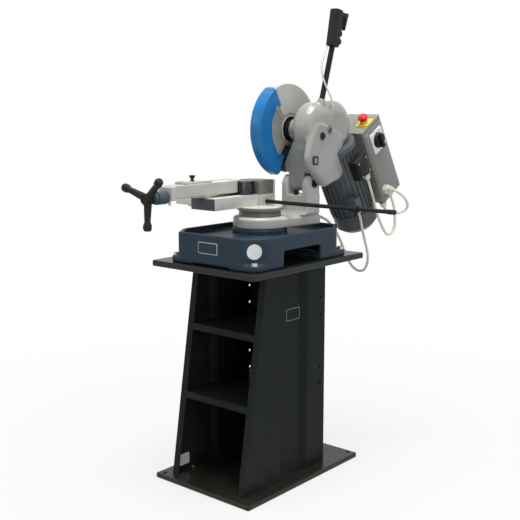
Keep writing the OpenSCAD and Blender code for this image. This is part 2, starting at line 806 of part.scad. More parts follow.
module turret() {
    xl = fork_mid_x - cheek_out;
    xr = fork_mid_x + cheek_out;
    rear_l = [xl, pad_rear_y];
    rear_r = [xr, pad_rear_y];
    side_r = 0.97*tangent(rear_r, -1) + 0.03*[turret_x, turret_y];
    side_l = 0.97*tangent(rear_l, 1) + 0.03*[turret_x, turret_y];
    front = pivot_y - cheek_front;
    cove = [for (a = [10:16:90]) [front - 18 + 18*sin(a), turret_z1 + 18 - 18*cos(a)]];
    color("#b9bab4")
    difference() {
        union() {
            translate([turret_x, turret_y, turret_z0]) cylinder(r = turret_r, h = turret_t - 6);
            translate([turret_x, turret_y, turret_z0 + turret_t - 6])
                cylinder(r1 = turret_r, r2 = turret_r - 6, h = 6);
            translate([0, 0, turret_z0]) linear_extrude(turret_t - 6)
                polygon([[turret_x, turret_y], side_r, rear_r, rear_l, side_l]);
            translate([0, 0, turret_z0]) linear_extrude(turret_t)
                polygon([[turret_x, turret_y], side_r - [6, 0], rear_r - [6, 0], rear_l + [6, 0],
                    side_l + [6, 0]]);
            cheek(xl);
            cheek(fork_mid_x + cheek_in);
            translate([xl, front + 1, turret_z1 - 1])
                cube([xr - xl, pad_rear_y - front - 5, web_z - turret_z1 + 1]);
            translate([xl, 0, 0]) rotate([90, 0, 90]) linear_extrude(xr - xl)
                polygon(concat([[front + 3, turret_z1 - 1], [front - 15, turret_z1 - 1]], cove,
                    [[front + 3, turret_z1 + 18]]));
        }
        translate([turret_x, turret_y, turret_z0 - 1]) cylinder(r = post_r + fit, h = turret_t + 2);
        translate([turret_x, turret_y, turret_z1]) cylinder(r = ring_r + 8, h = ring_h + bed_h);
        x_cyl(xl - 1, xr + 1, pivot_y, pivot_z, pivot_d/2 + 0.01);
        translate([fork_mid_x, stop_screw_y, web_z - 30]) cylinder(r = stop_screw_r + 0.01, h = 31);
    }
}

module pivot_pin() {
    color("#2c2e30")
        x_cyl(fork_mid_x - cheek_out - 2, fork_mid_x + cheek_out + 2, pivot_y, pivot_z, pivot_d/2);
}

module depth_stop_screw() {
    color("#26282a")
    translate([fork_mid_x, stop_screw_y, 0]) {
        translate([0, 0, web_z - 25]) cylinder(r = stop_screw_r, h = 32);
        translate([0, 0, web_z]) hex_head(13, 4);
        translate([0, 0, web_z + 6]) cylinder(r = 6, h = 6);
    }
}

// Clip on the turret's rear for the hanging lead
module cable_clip() {
    p = supply_route[len(supply_route) - 1];
    color("#2c2e30")
    translate([p[0], p[1] - 1, p[2]])
        difference() {
            rotate([-90, 0, 0]) cylinder(r1 = 9, r2 = 6.5, h = 14);
            translate([0, 1, 0]) rotate([-90, 0, 0]) cylinder(d = lead_d + 2*slip, h = 16);
        }
}

// Saw head

// Room that the motor takes below its flange
module motor_room() {
    on_motor() translate([0, 0, motor_top - motor_len]) cylinder(r = motor_r + 0.2, h = motor_len);
}

// Space that a fork cheek takes beside the pivot barrel
module fork_room(s) {
    x0 = s < 0 ? fork_mid_x - cheek_out - 40 : fork_mid_x + cheek_in - slip;
    x1 = s < 0 ? fork_mid_x - cheek_in + slip : fork_mid_x + cheek_out + 3;
    x_cyl(x0, x1, pivot_y, pivot_z, cheek_front + 3);
}

// A round of the casting, given as y, z and radius, between two places along X
module round_of(c, x0, x1, ease = 0) {
    x_cyl(x0, x1, c[0], c[1], c[2] - ease, $fn = 64);
}

module gear_housing() {
    color("#b4b5ae")
    difference() {
        union() {
            hull() {
                round_of(drum, drum_x0 + 9, cover_x);
                round_of(drum, drum_x0 + 3, cover_x, 4);
                round_of(drum, drum_x0, cover_x, edge);
            }
            hull() for (d = back_dome) round_of(ball, d[0], cover_x, d[1]);
            hull() {
                round_of(drum, drum_x0 + 4, cover_x, valley);
                for (d = back_dome) round_of(ball, d[0], cover_x, d[1] + valley);
            }
            hull() for (c = lobes) round_of(c, cover_x - 22, cover_x);
            hull() {
                round_of(neck_high, drum_x0, cover_x);
                round_of(neck_low, neck_x0, fork_mid_x + cheek_out);
            }
            hull() {
                round_of(neck_low, barrel_x[0], barrel_x[1]);
                x_cyl(barrel_x[0], barrel_x[1], pivot_y, pivot_z, barrel_r, $fn = 48);
            }
            x_cyl(nose_x, drum_x0 + 1, spindle_y, spindle_z, nose_r);
            for (a = boss_angles)
                let (p = polar(boss_ring_r, a)) x_cyl(fixed_x1, wheel_x0 + 10, p[0], p[1], boss_r);
            on_motor() translate([0, 0, motor_top]) cylinder(r = worm_tube_r, h = worm_top + 6 - motor_top);
        }
        x_cyl(nose_x - 1, wheel_x0, spindle_y, spindle_z, spindle_r + 3);
        x_cyl(nose_x - 1, nose_x + bearing_w, spindle_y, spindle_z, bearing_r + 0.01);
        x_cyl(wheel_x0 - 2, cover_x + 1, spindle_y, spindle_z, gear_room_r);
        on_motor() translate([0, 0, motor_top - 1]) cylinder(r = worm_room_r, h = worm_top + 3 - motor_top);
        x_cyl(fork_mid_x - cheek_out, cover_x + 1, pivot_y, pivot_z, pivot_d/2 + 4.01);
        on_handle() translate([0, 0, -socket_depth - 0.2])
            cylinder(r = handle_d/2 + 5.2, h = 2*socket_depth);
        fork_room(-1);
        fork_room(1);
        motor_room();
    }
}

// Deep cover with the rounded near face, the lower lobe and the handle's socket
module housing_cover() {
    color("#b4b5ae")
    difference() {
        union() {
            hull() for (d = dome) round_of(drum, cover_x, d[0], d[1]);
            hull() for (d = dome) round_of(ball, cover_x, d[0] + 3, d[1]);
            hull() for (d = dome, c = [drum, ball]) round_of(c, cover_x, d[0], d[1] + valley);
            hull()
                for (c = lobes) {
                    round_of(c, cover_x, head_x1 - edge);
                    round_of(c, cover_x, head_x1 - 4, 4);
                    round_of(c, cover_x, head_x1, edge);
                    round_of(lobe_front, head_x1 - edge - 4, head_x1 - edge);
                    round_of(lobe_front, head_x1 - edge, head_x1 - 4, 4);
                    round_of(lobe_front, head_x1 - 4, head_x1, edge);
                }
            on_handle() translate([0, 0, -socket_depth])
                cylinder(r1 = handle_d/2 + 5, r2 = handle_d/2 + 4, h = socket_depth + 7);
        }
        x_cyl(cover_x - 1, cover_x + rear_bearing_w, spindle_y, spindle_z, rear_bearing_r + 0.01);
        for (p = plug_places) x_cyl(head_x1 - 8, head_x1 + 1, p[0], p[1], p[2]);
        translate([head_x1 - 3, window_place[0] - 8, window_place[1] - 8]) cube([4, 16, 16]);
        on_handle() translate([0, 0, -6]) cylinder(d = handle_d + 0.02, h = 40);
        on_motor() translate([0, 0, motor_top - 1]) cylinder(r = worm_room_r, h = worm_top + 3 - motor_top);
        fork_room(1);
        motor_room();
    }
}

module oil_plugs() {
    color("#26282a") {
        for (p = plug_places) x_cyl(head_x1 - 8, head_x1 + 1.5, p[0], p[1], p[2] - 0.01);
        translate([head_x1 - 3, window_place[0] - 8, window_place[1] - 8]) cube([2, 16, 16]);
    }
}

module pivot_bushes() {
    color("darkgoldenrod")
    difference() {
        x_cyl(barrel_x[0], barrel_x[1], pivot_y, pivot_z, pivot_d/2 + 4);
        x_cyl(barrel_x[0] - 1, barrel_x[1] + 1, pivot_y, pivot_z, pivot_d/2 + fit);
    }
}

module bearing(x0, w, r, bore) {
    difference() {
        x_cyl(x0, x0 + w, spindle_y, spindle_z, r);
        x_cyl(x0 - 1, x0 + w + 1, spindle_y, spindle_z, bore + fit);
    }
}

module spindle_bearings() {
    color("silver") {
        bearing(nose_x, bearing_w, bearing_r, spindle_r);
        bearing(cover_x, rear_bearing_w, rear_bearing_r, spindle_r - 3);
    }
}

// Wall of a blade guard as radius and x, with bevelled rims
module guard_profile(r, x0, x1, inner, bevel) {
    t = guard_plate;
    k = t*0.586;
    polygon([[inner, x1], [r - bevel, x1], [r, x1 - bevel], [r, x0 + bevel], [r - bevel, x0], [inner, x0],
        [inner, x0 + t], [r - bevel - k + t*0.586, x0 + t], [r - t, x0 + bevel + k], [r - t, x1 - bevel - k],
        [r - bevel - k + t*0.586, x1 - t], [inner, x1 - t]]);
}

// Upper guard, bolted to the housing's two bosses, with the collar that the moving guard turns on
module fixed_guard() {
    color("#b4b5ae")
    on_spindle() {
        intersection() {
            rotate_extrude() guard_profile(fixed_r, fixed_x0, fixed_x1, guard_bore_r, 3);
            translate([0, 0, fixed_x0 - 1]) linear_extrude(fixed_x1 - fixed_x0 + 2)
                guard_sector(fixed_from, fixed_to, 2*fixed_r);
        }
        translate([0, 0, fixed_x1 - 1]) linear_extrude(guard_x1 + guard_plate + 2 - fixed_x1) difference() {
            circle(collar_r);
            circle(guard_bore_r);
        }
    }
}

module moving_guard() {
    color("#2a7fc9")
        on_spindle() intersection() {
            rotate_extrude() guard_profile(moving_r, guard_x0, guard_x1, guard_inner_r, guard_bevel);
            translate([0, 0, guard_x0 - 1]) linear_extrude(guard_x1 - guard_x0 + 2)
                guard_sector(guard_from, guard_to, 2*moving_r);
        }
}

// Flat ring and two arms that carry the moving guard round the fixed guard's collar
module guard_arm() {
    color("#a9aaa4")
    on_spindle() translate([0, 0, guard_x1]) linear_extrude(guard_plate) difference() {
        union() {
            circle(collar_r + 7);
            for (a = arm_angles)
                rotate(a) translate([-arm_plate_w/2, 0]) square([arm_plate_w, guard_inner_r + 8]);
        }
        circle(collar_r + fit);
    }
}

module spindle() {
    color("silver") {
        x_cyl(blade_x - 12, cover_x, spindle_y, spindle_z, spindle_r);
        x_cyl(cover_x - 1, cover_x + rear_bearing_w - 0.5, spindle_y, spindle_z, spindle_r - 3);
    }
}

module saw_blade() {
    tooth_w = 360/blade_teeth;
    r = blade_d/2;
    outline = [for (i = [0:blade_teeth - 1], k = [0, 1])
        let (a = tooth_w*(i + 0.75*k), q = k == 0 ? r : r - 4) q*[cos(a), sin(a)]];
    color("#7f868c")
        on_spindle(blade_x - blade_t/2) linear_extrude(blade_t) difference() {
            polygon(outline);
            circle(spindle_r + 0.01);
        }
}

module blade_flange() {
    color("#1c1d1e")
    difference() {
        union() {
            x_cyl(blade_x + blade_t/2, blade_x + blade_t/2 + 10, spindle_y, spindle_z, flange_r);
            x_cyl(blade_x + blade_t/2, flange_x1, spindle_y, spindle_z, flange_r - 6);
        }
        x_cyl(blade_x, flange_x1 + 1, spindle_y, spindle_z, spindle_r + 0.01);
    }
}

module arbor_bolt() {
    x1 = blade_x - blade_t/2;
    color("#2c2e30")
    difference() {
        union() {
            x_cyl(x1 - 8, x1, spindle_y, spindle_z, 30);
            translate([x1 - 8, spindle_y, spindle_z]) rotate([0, -90, 0]) hex_head(36, 8);
        }
        x_cyl(x1 - 11, x1 + 1, spindle_y, spindle_z, spindle_r + 0.01);
    }
}

module worm_wheel() {
    color("darkgoldenrod")
    on_spindle(wheel_x0) difference() {
        cylinder(r = wheel_r, h = wheel_w);
        translate([0, 0, -1]) cylinder(r = spindle_r + 0.01, h = wheel_w + 2);
        for (i = [0:wheel_teeth - 1])
            rotate([0, 0, 360*i/wheel_teeth]) translate([wheel_r + 1, 0, -1])
                linear_extrude(wheel_w + 2) polygon([[1, -2.4], [1, 2.4], [-5, 1.2], [-5, -1.2]]);
    }
}

// Motor

module motor_body() {
    z0 = motor_top - motor_len;
    color("#232c3a")
    on_motor() difference() {
        union() {
            translate([0, 0, z0]) cylinder(r = motor_r - fin_h, h = motor_len);
            translate([0, 0, motor_top - 14]) cylinder(r = motor_r, h = 14);
            translate([0, 0, z0]) cylinder(r = motor_r - 1, h = 12);
            for (i = [0:fin_count - 1])
                rotate([0, 0, 360*(i + 0.5)/fin_count]) translate([motor_r - fin_h - 3, -1.5, z0 + 10])
                    cube([fin_h + 3, 3, motor_len - 22]);
            translate([supply_gland[0] - 24, supply_gland[1] - 12, supply_gland[2] + gland_h])
                cube([36, 24, 34]);
        }
        translate([0, 0, z0 + 14]) cylinder(r = rotor_r + 1, h = motor_len - 28);
        translate([0, 0, z0 - 1]) cylinder(r = motor_shaft_r + fit, h = motor_len + 2);
    }
}

// Cover over the cooling fan, with its ring of slots
module fan_cover() {
    z1 = motor_top - motor_len;
    color("#1d2430")
    on_motor() difference() {
        rotate_extrude()
            polygon([[0, z1 - fan_cover_len], [motor_r - 16, z1 - fan_cover_len],
                [motor_r - 2, z1 - fan_cover_len + 16],
                [motor_r - 2, z1], [motor_r - 5, z1], [motor_r - 5, z1 - fan_cover_len + 17],
                [motor_r - 17, z1 - fan_cover_len + 3], [0, z1 - fan_cover_len + 3]]);
        for (r = [22, 34, 46], i = [0:11])
            rotate([0, 0, 30*i + r]) translate([r, 0, z1 - fan_cover_len - 1])
                cylinder(r = 3.4, h = 6, $fn = 20);
    }
}

// Rotor and shaft, with the worm cut on the shaft's end
module motor_rotor() {
    z0 = motor_top - motor_len;
    worm_z = worm_top - 54;
    color("silver")
    on_motor() {
        translate([0, 0, z0 + 16]) cylinder(r = rotor_r, h = motor_len - 32);
        translate([0, 0, z0 - 34]) cylinder(r = motor_shaft_r, h = worm_z - z0 + 36);
        translate([0, 0, worm_z]) rotate_extrude()
            polygon(concat([[0, 0]],
                [for (i = [0:6], k = [0:3]) [k == 0 || k == 3 ? worm_r - 4 : worm_r, 8*i + 2*k]],
                [[0, 54]]));
    }
}

module cooling_fan() {
    z = motor_top - motor_len - 32;
    color("#2c2e30")
    on_motor() difference() {
        union() {
            translate([0, 0, z]) cylinder(r = 20, h = 18);
            for (i = [0:6])
                rotate([0, 0, 360*i/7]) translate([14, -1.5, z]) cube([motor_r - 28, 3, 18]);
        }
        translate([0, 0, z - 1]) cylinder(r = motor_shaft_r + 0.01, h = 20);
    }
}

module terminal_box() {
    s = terminal_size;
    color("#1c1d1e")
    on_motor() translate([motor_r - fin_h - 4, -s[1]/2, terminal_z - s[2]/2]) {
        difference() {
            cube(s);
            translate([-motor_r + fin_h + 4, s[1]/2, -1]) cylinder(r = motor_r + 0.3, h = s[2] + 2);
        }
        translate([s[0], 4, 4]) cube([4, s[1] - 8, s[2] - 8]);
    }
}

// Control box behind the motor, on its two brackets
module control_box() {
    len = control_len;
    w = control_x1 - control_x0;
    z0 = control_z1 - len;
    color("#8d9092")
    on_motor() translate([control_x0 - motor_x, control_n0, z0]) {
        linear_extrude(len - 3) translate([w/2, control_w/2]) round_rect(w - 2, control_w - 2, 6);
        translate([w/2, control_w/2, len - 3]) linear_extrude(3) round_rect(w, control_w, 6);
        translate([w - 1, 8, 6]) cube([2, control_w - 16, len - 18]);
    }
    color("#8d9092")
    on_motor() difference() {
        for (z = [z0 + 70, z0 + len - 70])
            translate([control_x0 - motor_x + w/2 - 14, motor_r - 9, z])
                cube([28, control_n0 - motor_r + 12, 24]);
        translate([0, 0, z0]) cylinder(r = motor_r + 0.2, h = len);
    }
}

// Square plate of the rotary switch on the box's side
switch_n = 134;
switch_z = -163;
module switch_plate() {
    color("white")
    on_motor() translate([control_x1 - motor_x + 1, switch_n, switch_z]) rotate([90, 0, 90])
    difference() {
        linear_extrude(4) round_rect(66, 66, 6);
        translate([0, 0, -1]) cylinder(r = 6 + fit, h = 6);
    }
}

module switch_knob() {
    color("#1c1d1e")
    on_motor() translate([control_x1 - motor_x + 1, switch_n, switch_z]) rotate([90, 0, 90]) {
        translate([0, 0, 0.5]) cylinder(r = 6, h = 8);
        translate([0, 0, 4 + slip]) cylinder(r1 = 24, r2 = 22, h = 9);
        translate([-5, -22, 12]) cube([10, 44, 10]);
    }
}

// Yellow plate and red mushroom on the box's top end
estop_n = 135;
estop_x = 132;
module estop_plate() {
    color("gold")
    on_motor() translate([estop_x - motor_x, estop_n, control_z1]) difference() {
        union() {
            linear_extrude(2) round_rect(44, 44, 4);
            cylinder(r = 13, h = 9);
        }
        translate([0, 0, -1]) cylinder(r = 7 + fit, h = 12);
    }
}

module estop_button() {
    color("red")
    on_motor() translate([estop_x - motor_x, estop_n, control_z1]) {
        translate([0, 0, 5]) cylinder(r = 7, h = 12);
        translate([0, 0, 15]) cylinder(r1 = estop_d/2 - 2, r2 = estop_d/2, h = 7);
        translate([0, 0, 22]) cylinder(r1 = estop_d/2, r2 = estop_d/2 - 6, h = 5);
    }
}

// Cream glands: three that point down the motor's axis, and the connector on the box's side
module lead_glands() {
    color("#e6e0cc") on_motor() {
        for (g = [supply_gland, terminal_gland, box_gland])
            translate(g) {
                cylinder(r = 9, h = gland_h - 5);
                translate([0, 0, gland_h - 5]) hex_head(22, 5);
            }
        translate(connector) rotate([0, 90, 0]) {
            hex_head(28, 12);
            cylinder(r = 11, h = 26);
        }
        translate(connector + [13, 0, -24]) cylinder(r = 7, h = 24);
    }
}

// Handle

module on_handle() {
    translate([handle_x, handle_foot[0], handle_foot[1]]) rotate([handle_lean, 0, 0]) children();
}

module on_grip() {
    on_handle() translate([0, 0, handle_len]) rotate([grip_lean - handle_lean, 0, 0]) children();
}

module handle_rod() {
    color("#1c1d1e") on_handle() translate([0, 0, -5]) cylinder(d = handle_d, h = handle_len + 25);
}

module handle_grip() {
    color("#1c1d1e")
    difference() {
        on_grip() union() {
            linear_extrude(grip_len) round_rect(grip_w, grip_d, 9);
            translate([-grip_w/2 + 6, grip_d/2 - 8, grip_len - 14]) cube([grip_w - 12, 38, 12]);
            translate([-grip_w/2 + 6, grip_d/2 + 18, grip_len - 58]) cube([grip_w - 12, 12, 46]);
        }
        on_handle() cylinder(d = handle_d + 0.02, h = handle_len + 21);
        on_grip() translate([-7, grip_d/2 - 12, grip_len - 50]) cube([14, 13, 24]);
    }
}

module trigger() {
    color("#5a5c5e")
        on_grip() translate([-6.5, grip_d/2 - 5.5, grip_len - 49]) cube([13, 12, 22]);
}

// Leads

module supply_lead() {
    color("#ddd8c4") lead(supply_route, lead_d, 10);
}

module motor_lead() {
    color("#ddd8c4") lead(motor_route, lead_d, 10);
}

module box_lead() {
    color("#ddd8c4") lead(box_route, lead_d, 10);
}

module handle_lead() {
    color("#ddd8c4") lead(handle_route, switch_lead_d, 10);
}

base_plate();
left_side_panel();
right_side_panel();
back_panel();
upper_shelf();
lower_shelf();
table_plate();
bolts();
base_casting();
scale_ring();
vise_bed();
vise_end_plate();
vise_nut();
fixed_jaw();
fixed_jaw_insert();
stop_rod();
stop_collar();
moving_jaw();
vise_arm();
arm_end_block();
screw_sleeve();
clamp_plate();
thumb_screw();
vise_screw();
handwheel();
turret();
pivot_pin();
depth_stop_screw();
cable_clip();
gear_housing();
housing_cover();
oil_plugs();
pivot_bushes();
spindle_bearings();
fixed_guard();
moving_guard();
guard_arm();
spindle();
saw_blade();
blade_flange();
arbor_bolt();
worm_wheel();
motor_body();
fan_cover();
motor_rotor();
cooling_fan();
terminal_box();
control_box();
switch_plate();
switch_knob();
estop_plate();
estop_button();
lead_glands();
handle_rod();
handle_grip();
trigger();
supply_lead();
motor_lead();
box_lead();
handle_lead();
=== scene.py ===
import json
import math

import bpy
from mathutils import Matrix, Vector


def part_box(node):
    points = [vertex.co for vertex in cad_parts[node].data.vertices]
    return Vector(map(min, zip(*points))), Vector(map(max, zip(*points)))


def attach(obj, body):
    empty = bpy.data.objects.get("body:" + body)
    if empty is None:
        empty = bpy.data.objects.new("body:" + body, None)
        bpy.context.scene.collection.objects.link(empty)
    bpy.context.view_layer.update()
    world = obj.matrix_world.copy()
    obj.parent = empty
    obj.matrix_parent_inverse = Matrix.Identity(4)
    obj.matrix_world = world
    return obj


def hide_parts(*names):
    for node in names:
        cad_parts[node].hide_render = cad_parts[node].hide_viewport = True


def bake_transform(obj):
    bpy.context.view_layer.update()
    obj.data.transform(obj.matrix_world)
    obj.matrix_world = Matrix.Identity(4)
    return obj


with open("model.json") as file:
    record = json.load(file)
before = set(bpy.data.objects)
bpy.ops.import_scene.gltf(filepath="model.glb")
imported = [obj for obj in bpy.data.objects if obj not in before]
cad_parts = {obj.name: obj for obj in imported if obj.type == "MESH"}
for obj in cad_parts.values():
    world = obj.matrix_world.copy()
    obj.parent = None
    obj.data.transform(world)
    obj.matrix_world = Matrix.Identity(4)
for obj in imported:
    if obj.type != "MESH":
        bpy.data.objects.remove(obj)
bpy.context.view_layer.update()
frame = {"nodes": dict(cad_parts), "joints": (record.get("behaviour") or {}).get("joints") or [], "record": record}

nodes = frame["nodes"]
record = frame["record"]
scene = bpy.context.scene
body_of = {node: body for body, members in record["behaviour"]["bodies"].items() for node in members}
slot_of = {subpart["node"]: subpart["material_slot"] for subpart in record["subparts"]}
axis_place = {joint["name"]: joint.get("pos_m") for joint in frame["joints"]}

# Places in metres that come from the frame
SPINDLE = axis_place["blade_spin"]
SWIVEL = axis_place["turret_swivel"]
MOTOR_X = axis_place["motor_spin"][0]
RING_LOW, RING_HIGH = (corner[2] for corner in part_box("scale_ring"))
BED_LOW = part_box("vise_bed")[0][2]
TRAY_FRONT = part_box("base_casting")[0][1]
HEAD_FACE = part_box("housing_cover")[1][0]
LEFT_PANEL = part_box("left_side_panel")[0][0]

# Directions
UP = (0, 0, 1)
RIGHT = (1, 0, 0)
FRONT = (0, -1, 0)

# Motor frame: its origin is the motor axis' point nearest the spindle, and it leans back
MOTOR_LEAN = math.radians(31)
MOTOR_REACH = 0.070
MOTOR_FOOT = (MOTOR_X, SPINDLE[1] + MOTOR_REACH * math.cos(MOTOR_LEAN),
              SPINDLE[2] + MOTOR_REACH * math.sin(MOTOR_LEAN))
MOTOR_UP = (0, -math.sin(MOTOR_LEAN), math.cos(MOTOR_LEAN))

# Grip frame: its foot is on the handle's rod, with X across the grip, Y towards the trigger and Z along it
GRIP_LEAN = math.radians(-11)
GRIP_FOOT = (0.125, 0.1750, 1.2415)


def leaned(foot, lean, x, y, z):
    """A point of a frame that stands on its foot and leans about X, in metres of the whole saw."""
    c, s = math.cos(lean), math.sin(lean)
    return (foot[0] + x, foot[1] + y * c - z * s, foot[2] + y * s + z * c)


def on_motor(x, y, z):
    return leaned(MOTOR_FOOT, MOTOR_LEAN, x, y, z)


def on_grip(x, y, z):
    return leaned(GRIP_FOOT, GRIP_LEAN, x, y, z)


# Nodes that the stage and the materials share

def join(tree, source, socket):
    """Links a socket to another one, or sets that one to a number."""
    if isinstance(source, (int, float)):
        socket.default_value = source
    else:
        tree.links.new(source, socket)


def math_in(tree, what, a, b=None, clamp=False):
    """A maths node on one or two numbers or sockets."""
    node = tree.nodes.new("ShaderNodeMath")
    node.operation = what
    node.use_clamp = clamp
    for socket, value in zip(node.inputs, (a, b)):
        if value is not None:
            join(tree, value, socket)
    return node.outputs[0]


def times(tree, a, b):
    return math_in(tree, "MULTIPLY", a, b)


def weighed(tree, a, b, share):
    """Two values added, the first by its share and the second by the rest."""
    return math_in(tree, "ADD", times(tree, a, share), times(tree, b, 1 - share))


def spread(tree, value, low=0.0, high=1.0, to_low=0.0, to_high=1.0, easing="LINEAR"):
    """A value carried from one range to another."""
    node = tree.nodes.new("ShaderNodeMapRange")
    node.interpolation_type = easing
    for label, limit in (("From Min", low), ("From Max", high), ("To Min", to_low), ("To Max", to_high)):
        join(tree, limit, node.inputs[label])
    join(tree, value, node.inputs["Value"])
    return node.outputs["Result"]


def noise_in(tree, place, scale, detail):
    noise = tree.nodes.new("ShaderNodeTexNoise")
    noise.inputs["Detail"].default_value = detail
    join(tree, place, noise.inputs["Vector"])
    join(tree, scale, noise.inputs["Scale"])
    return noise.outputs["Fac"]


def split_place(tree, place, centre=None):
    """X, Y and Z of a place, measured from a centre where one is given."""
    if centre:
        mapping = tree.nodes.new("ShaderNodeMapping")
        mapping.inputs["Location"].default_value = [-v for v in centre]
        join(tree, place, mapping.inputs["Vector"])
        place = mapping.outputs[0]
    split = tree.nodes.new("ShaderNodeSeparateXYZ")
    join(tree, place, split.inputs[0])
    return split.outputs


def mix_shaders(tree, share, first, second, end):
    """Feeds an end node with two shaders, the second by its share."""
    mix = tree.nodes.new("ShaderNodeMixShader")
    for source, socket in zip((share, first, second), mix.inputs):
        join(tree, source, socket)
    join(tree, mix.outputs[0], end.inputs[0])


# Camera, floor and light

CAMERA_PLACE = (1.6854, -1.9764, 1.074)
CAMERA_TURN = 40.4
CAMERA_DIP = 9.64
CAMERA_LENS = 62.79
CAMERA_SENSOR = 36
CAMERA_REACH = 500
WHITE = (1, 1, 1, 1)
WHITE_STRENGTH = 1.0
WORLD_COLOUR = (0.96, 0.99, 1.0, 1)
WORLD_STRENGTH = 0.45
FLOOR_SIZE = 400
FLOOR_SINK = 0.0006
FLOOR_GREY = (0.74, 0.74, 0.74, 1)
FLOOR_ROUGH = 0.9
SHADOW_NEAR, SHADOW_FAR = 0.35, 1.9
GLOW_NEAR, GLOW_FAR = 0.78, 1.0


def place_camera():
    data = bpy.data.cameras.new("camera")
    data.lens = CAMERA_LENS
    data.sensor_width = CAMERA_SENSOR
    data.clip_end = CAMERA_REACH
    camera = bpy.data.objects.new("camera", data)
    camera.location = CAMERA_PLACE
    camera.rotation_euler = (math.radians(90 - CAMERA_DIP), 0, math.radians(CAMERA_TURN))
    scene.collection.objects.link(camera)
    scene.camera = camera


def area_light(name, place, target, width, power, colour):
    data = bpy.data.lights.new(name, "AREA")
    data.shape = "DISK"
    data.size = width
    data.energy = power
    data.color = colour
    lamp = bpy.data.objects.new(name, data)
    lamp.location = place
    lamp.rotation_euler = (Vector(target) - Vector(place)).to_track_quat("-Z", "Y").to_euler()
    scene.collection.objects.link(lamp)


def seen_ray(tree):
    """1 for rays that see the surface directly, in a mirror or through glass."""
    path = tree.nodes.new("ShaderNodeLightPath")
    total = path.outputs["Is Camera Ray"]
    for name in ("Is Glossy Ray", "Is Transmission Ray"):
        total = math_in(tree, "MAXIMUM", total, path.outputs[name])
    return total


def light_room():
    scene.view_settings.view_transform = "Standard"
    world = bpy.data.worlds.new("studio")
    scene.world = world
    world.use_nodes = True
    tree = world.node_tree
    dim = tree.nodes["Background"]
    white = tree.nodes.new("ShaderNodeBackground")
    for node, colour, strength in ((dim, WORLD_COLOUR, WORLD_STRENGTH), (white, WHITE, WHITE_STRENGTH)):
        node.inputs["Color"].default_value = colour
        node.inputs["Strength"].default_value = strength
    mix_shaders(tree, seen_ray(tree), dim.outputs[0], white.outputs[0], tree.nodes["World Output"])
    area_light("top", place=(0.35, -0.15, 3.4), target=(0.05, 0.1, 0.9), width=1.6, power=88,
               colour=(1.0, 0.95, 0.86))
    area_light("front", place=(-1.5, -2.5, 2.0), target=(0, 0, 0.8), width=1.6, power=8,
               colour=(1.0, 0.98, 0.95))
    area_light("fill", place=(2.7, -1.0, 1.4), target=(0, 0, 0.7), width=2.0, power=12,
               colour=(0.96, 0.98, 1.0))


def lay_floor():
    """A pale floor that takes the saw's shadow and fades to white away from it."""
    bpy.ops.object.select_all(action="DESELECT")
    bpy.ops.mesh.primitive_plane_add(size=FLOOR_SIZE, location=(0, 0, -FLOOR_SINK))
    floor = bpy.context.object
    floor.name = "floor"
    pale = bpy.data.materials.new("pale_floor")
    pale.use_nodes = True
    tree = pale.node_tree
    paint = tree.nodes["Principled BSDF"]
    paint.inputs["Base Color"].default_value = FLOOR_GREY
    paint.inputs["Roughness"].default_value = FLOOR_ROUGH
    glow = tree.nodes.new("ShaderNodeEmission")
    glow.inputs["Color"].default_value = WHITE
    glow.inputs["Strength"].default_value = WHITE_STRENGTH
    away = tree.nodes.new("ShaderNodeVectorMath")
    away.operation = "LENGTH"
    join(tree, tree.nodes.new("ShaderNodeTexCoord").outputs["Object"], away.inputs[0])
    fade = spread(tree, away.outputs["Value"], SHADOW_NEAR, SHADOW_FAR, GLOW_NEAR, GLOW_FAR, "SMOOTHSTEP")
    share = times(tree, seen_ray(tree), fade)
    mix_shaders(tree, share, paint.outputs[0], glow.outputs[0], tree.nodes["Material Output"])
    floor.data.materials.append(pale)


place_camera()
light_room()
lay_floor()


# Shared surface effects

def new_group(name, inputs, outputs):
    """A shader group, its input sockets and its output sockets. An input without a number is a vector."""
    group = bpy.data.node_groups.new(name, "ShaderNodeTree")
    for label, value in inputs.items():
        if value is None:
            group.interface.new_socket(label, in_out="INPUT", socket_type="NodeSocketVector")
        else:
            socket = group.interface.new_socket(label, in_out="INPUT", socket_type="NodeSocketFloat")
            socket.default_value = value
    for label in outputs:
        group.interface.new_socket(label, in_out="OUTPUT", socket_type="NodeSocketFloat")
    return group, group.nodes.new("NodeGroupInput").outputs, group.nodes.new("NodeGroupOutput").inputs


def make_cast_peel():
    """Paint over a casting: fine orange peel, low lumps and a slow change of tone."""
    fine_share = 0.45
    tone_scale = 11.0
    tone_low, tone_high = 0.32, 0.68
    inputs = {"Place": None, "Fine": 520.0, "Lump": 90.0}
    group, given, result = new_group("cast_peel", inputs, ("Height", "Tone"))
    fine = noise_in(group, given["Place"], given["Fine"], detail=2)
    lump = noise_in(group, given["Place"], given["Lump"], detail=2)
    join(group, weighed(group, fine, lump, fine_share), result["Height"])
    cloud = noise_in(group, given["Place"], tone_scale, detail=5)
    join(group, spread(group, cloud, tone_low, tone_high), result["Tone"])
    return group


def make_rub_marks():
    """Small scuffs and chips, more of them as Amount rises."""
    broad_share = 0.6
    finer = 5.5
    bare_above, amount_reach = 0.74, 0.2
    sharpness = 14.0
    inputs = {"Place": None, "Scale": 60.0, "Amount": 0.3}
    group, given, result = new_group("rub_marks", inputs, ("Mask",))
    broad = noise_in(group, given["Place"], given["Scale"], detail=3)
    small = noise_in(group, given["Place"], times(group, given["Scale"], finer), detail=6)
    edge = math_in(group, "SUBTRACT", bare_above, times(group, given["Amount"], amount_reach))
    above = math_in(group, "SUBTRACT", weighed(group, broad, small, broad_share), edge)
    join(group, math_in(group, "MULTIPLY", above, sharpness, clamp=True), result["Mask"])
    return group


